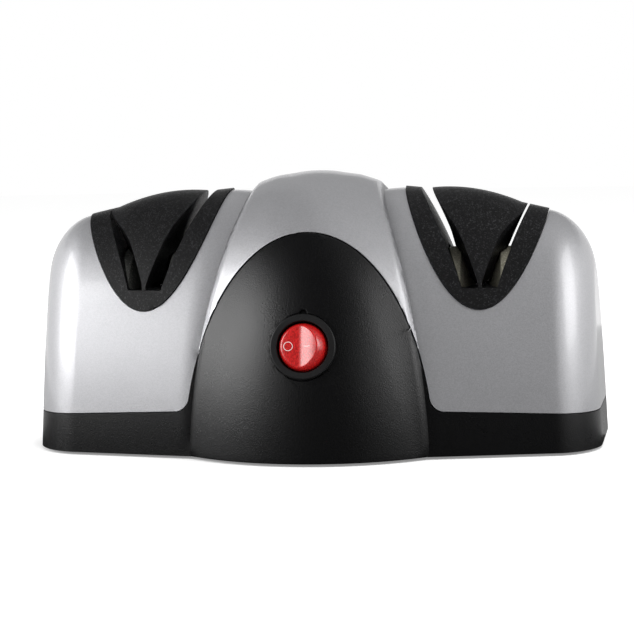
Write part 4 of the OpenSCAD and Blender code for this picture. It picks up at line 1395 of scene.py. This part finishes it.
def soft_light(name, azimuth, elevation, distance, size, power, aim=Vector((0, 0, 0.05))):
    """A rectangular soft box that faces the object."""
    data = bpy.data.lights.new(name, "AREA")
    data.shape = "RECTANGLE"
    data.size, data.size_y = size
    data.energy = power
    lamp = bpy.data.objects.new(name, data)
    a, e = math.radians(azimuth), math.radians(elevation)
    away = Vector((math.sin(a) * math.cos(e), -math.cos(a) * math.cos(e), math.sin(e)))
    lamp.matrix_world = (Matrix.Translation(aim + away * distance)
                         @ away.to_track_quat("Z", "Y").to_matrix().to_4x4())
    bpy.context.scene.collection.objects.link(lamp)
    return lamp


def make_lights():
    """Flags, bench and soft boxes. Azimuths are counted from the front, to the right."""
    flag("dark_front", azimuths=(-20, 40), elevations=(-3, 80), distance=1.5, grey=0.015)
    flag("ceiling", azimuths=(0, 360), elevations=(24, 90), distance=1.7, grey=0.28)
    flag("ceiling_left", azimuths=(-150, -15), elevations=(42, 90), distance=1.65, grey=0.04)
    # Painted shade: a dark sheet just over the floor round the body, which reflections see instead of the
    # white floor.
    bench_sector(azimuths=(-100, 100), near=0.02, far=0.5, grey=0.02)
    bench_sector(azimuths=(-34, 50), near=0.5, far=1.5, grey=0.02)
    bench_sector(azimuths=(100, 260), near=0.02, far=0.5, grey=0.5)
    soft_light("left_box", azimuth=-66, elevation=19, distance=1.0, size=(0.84, 0.56), power=8.2)
    soft_light("right_box", azimuth=76, elevation=22, distance=1.0, size=(0.44, 0.56), power=3.2)
    top = soft_light("top_box", azimuth=50, elevation=66, distance=1.2, size=(0.9, 0.6), power=9)
    top.visible_glossy = False


# ---- registration --------------------------------------------------------------------------


OPERATORS = (
    SHARPENER_OT_stage,
    SHARPENER_OT_top_shell,
    SHARPENER_OT_base_shell,
    SHARPENER_OT_knife_guides,
    SHARPENER_OT_switch,
    SHARPENER_OT_inner_finishes,
)
CLASSES = (BodySizes, SeamSizes, GuideSizes, SwitchSizes, WheelSizes, BaseSizes, Colours, Sizes,
           *OPERATORS, SHARPENER_PT_panel)


def register():
    for cls in CLASSES:
        bpy.utils.register_class(cls)
    bpy.types.Scene.sharpener = bpy.props.PointerProperty(
        name="Sharpener", description="Sizes and colours of the sharpener", type=Sizes)


def unregister():
    del bpy.types.Scene.sharpener
    for cls in reversed(CLASSES):
        bpy.utils.unregister_class(cls)


def main():
    register()
    bpy.ops.sharpener.stage()
    bpy.ops.sharpener.top_shell()
    bpy.ops.sharpener.base_shell()
    bpy.ops.sharpener.knife_guides()
    bpy.ops.sharpener.switch()
    bpy.ops.sharpener.inner_finishes()


if __name__ == "__main__":
    main()
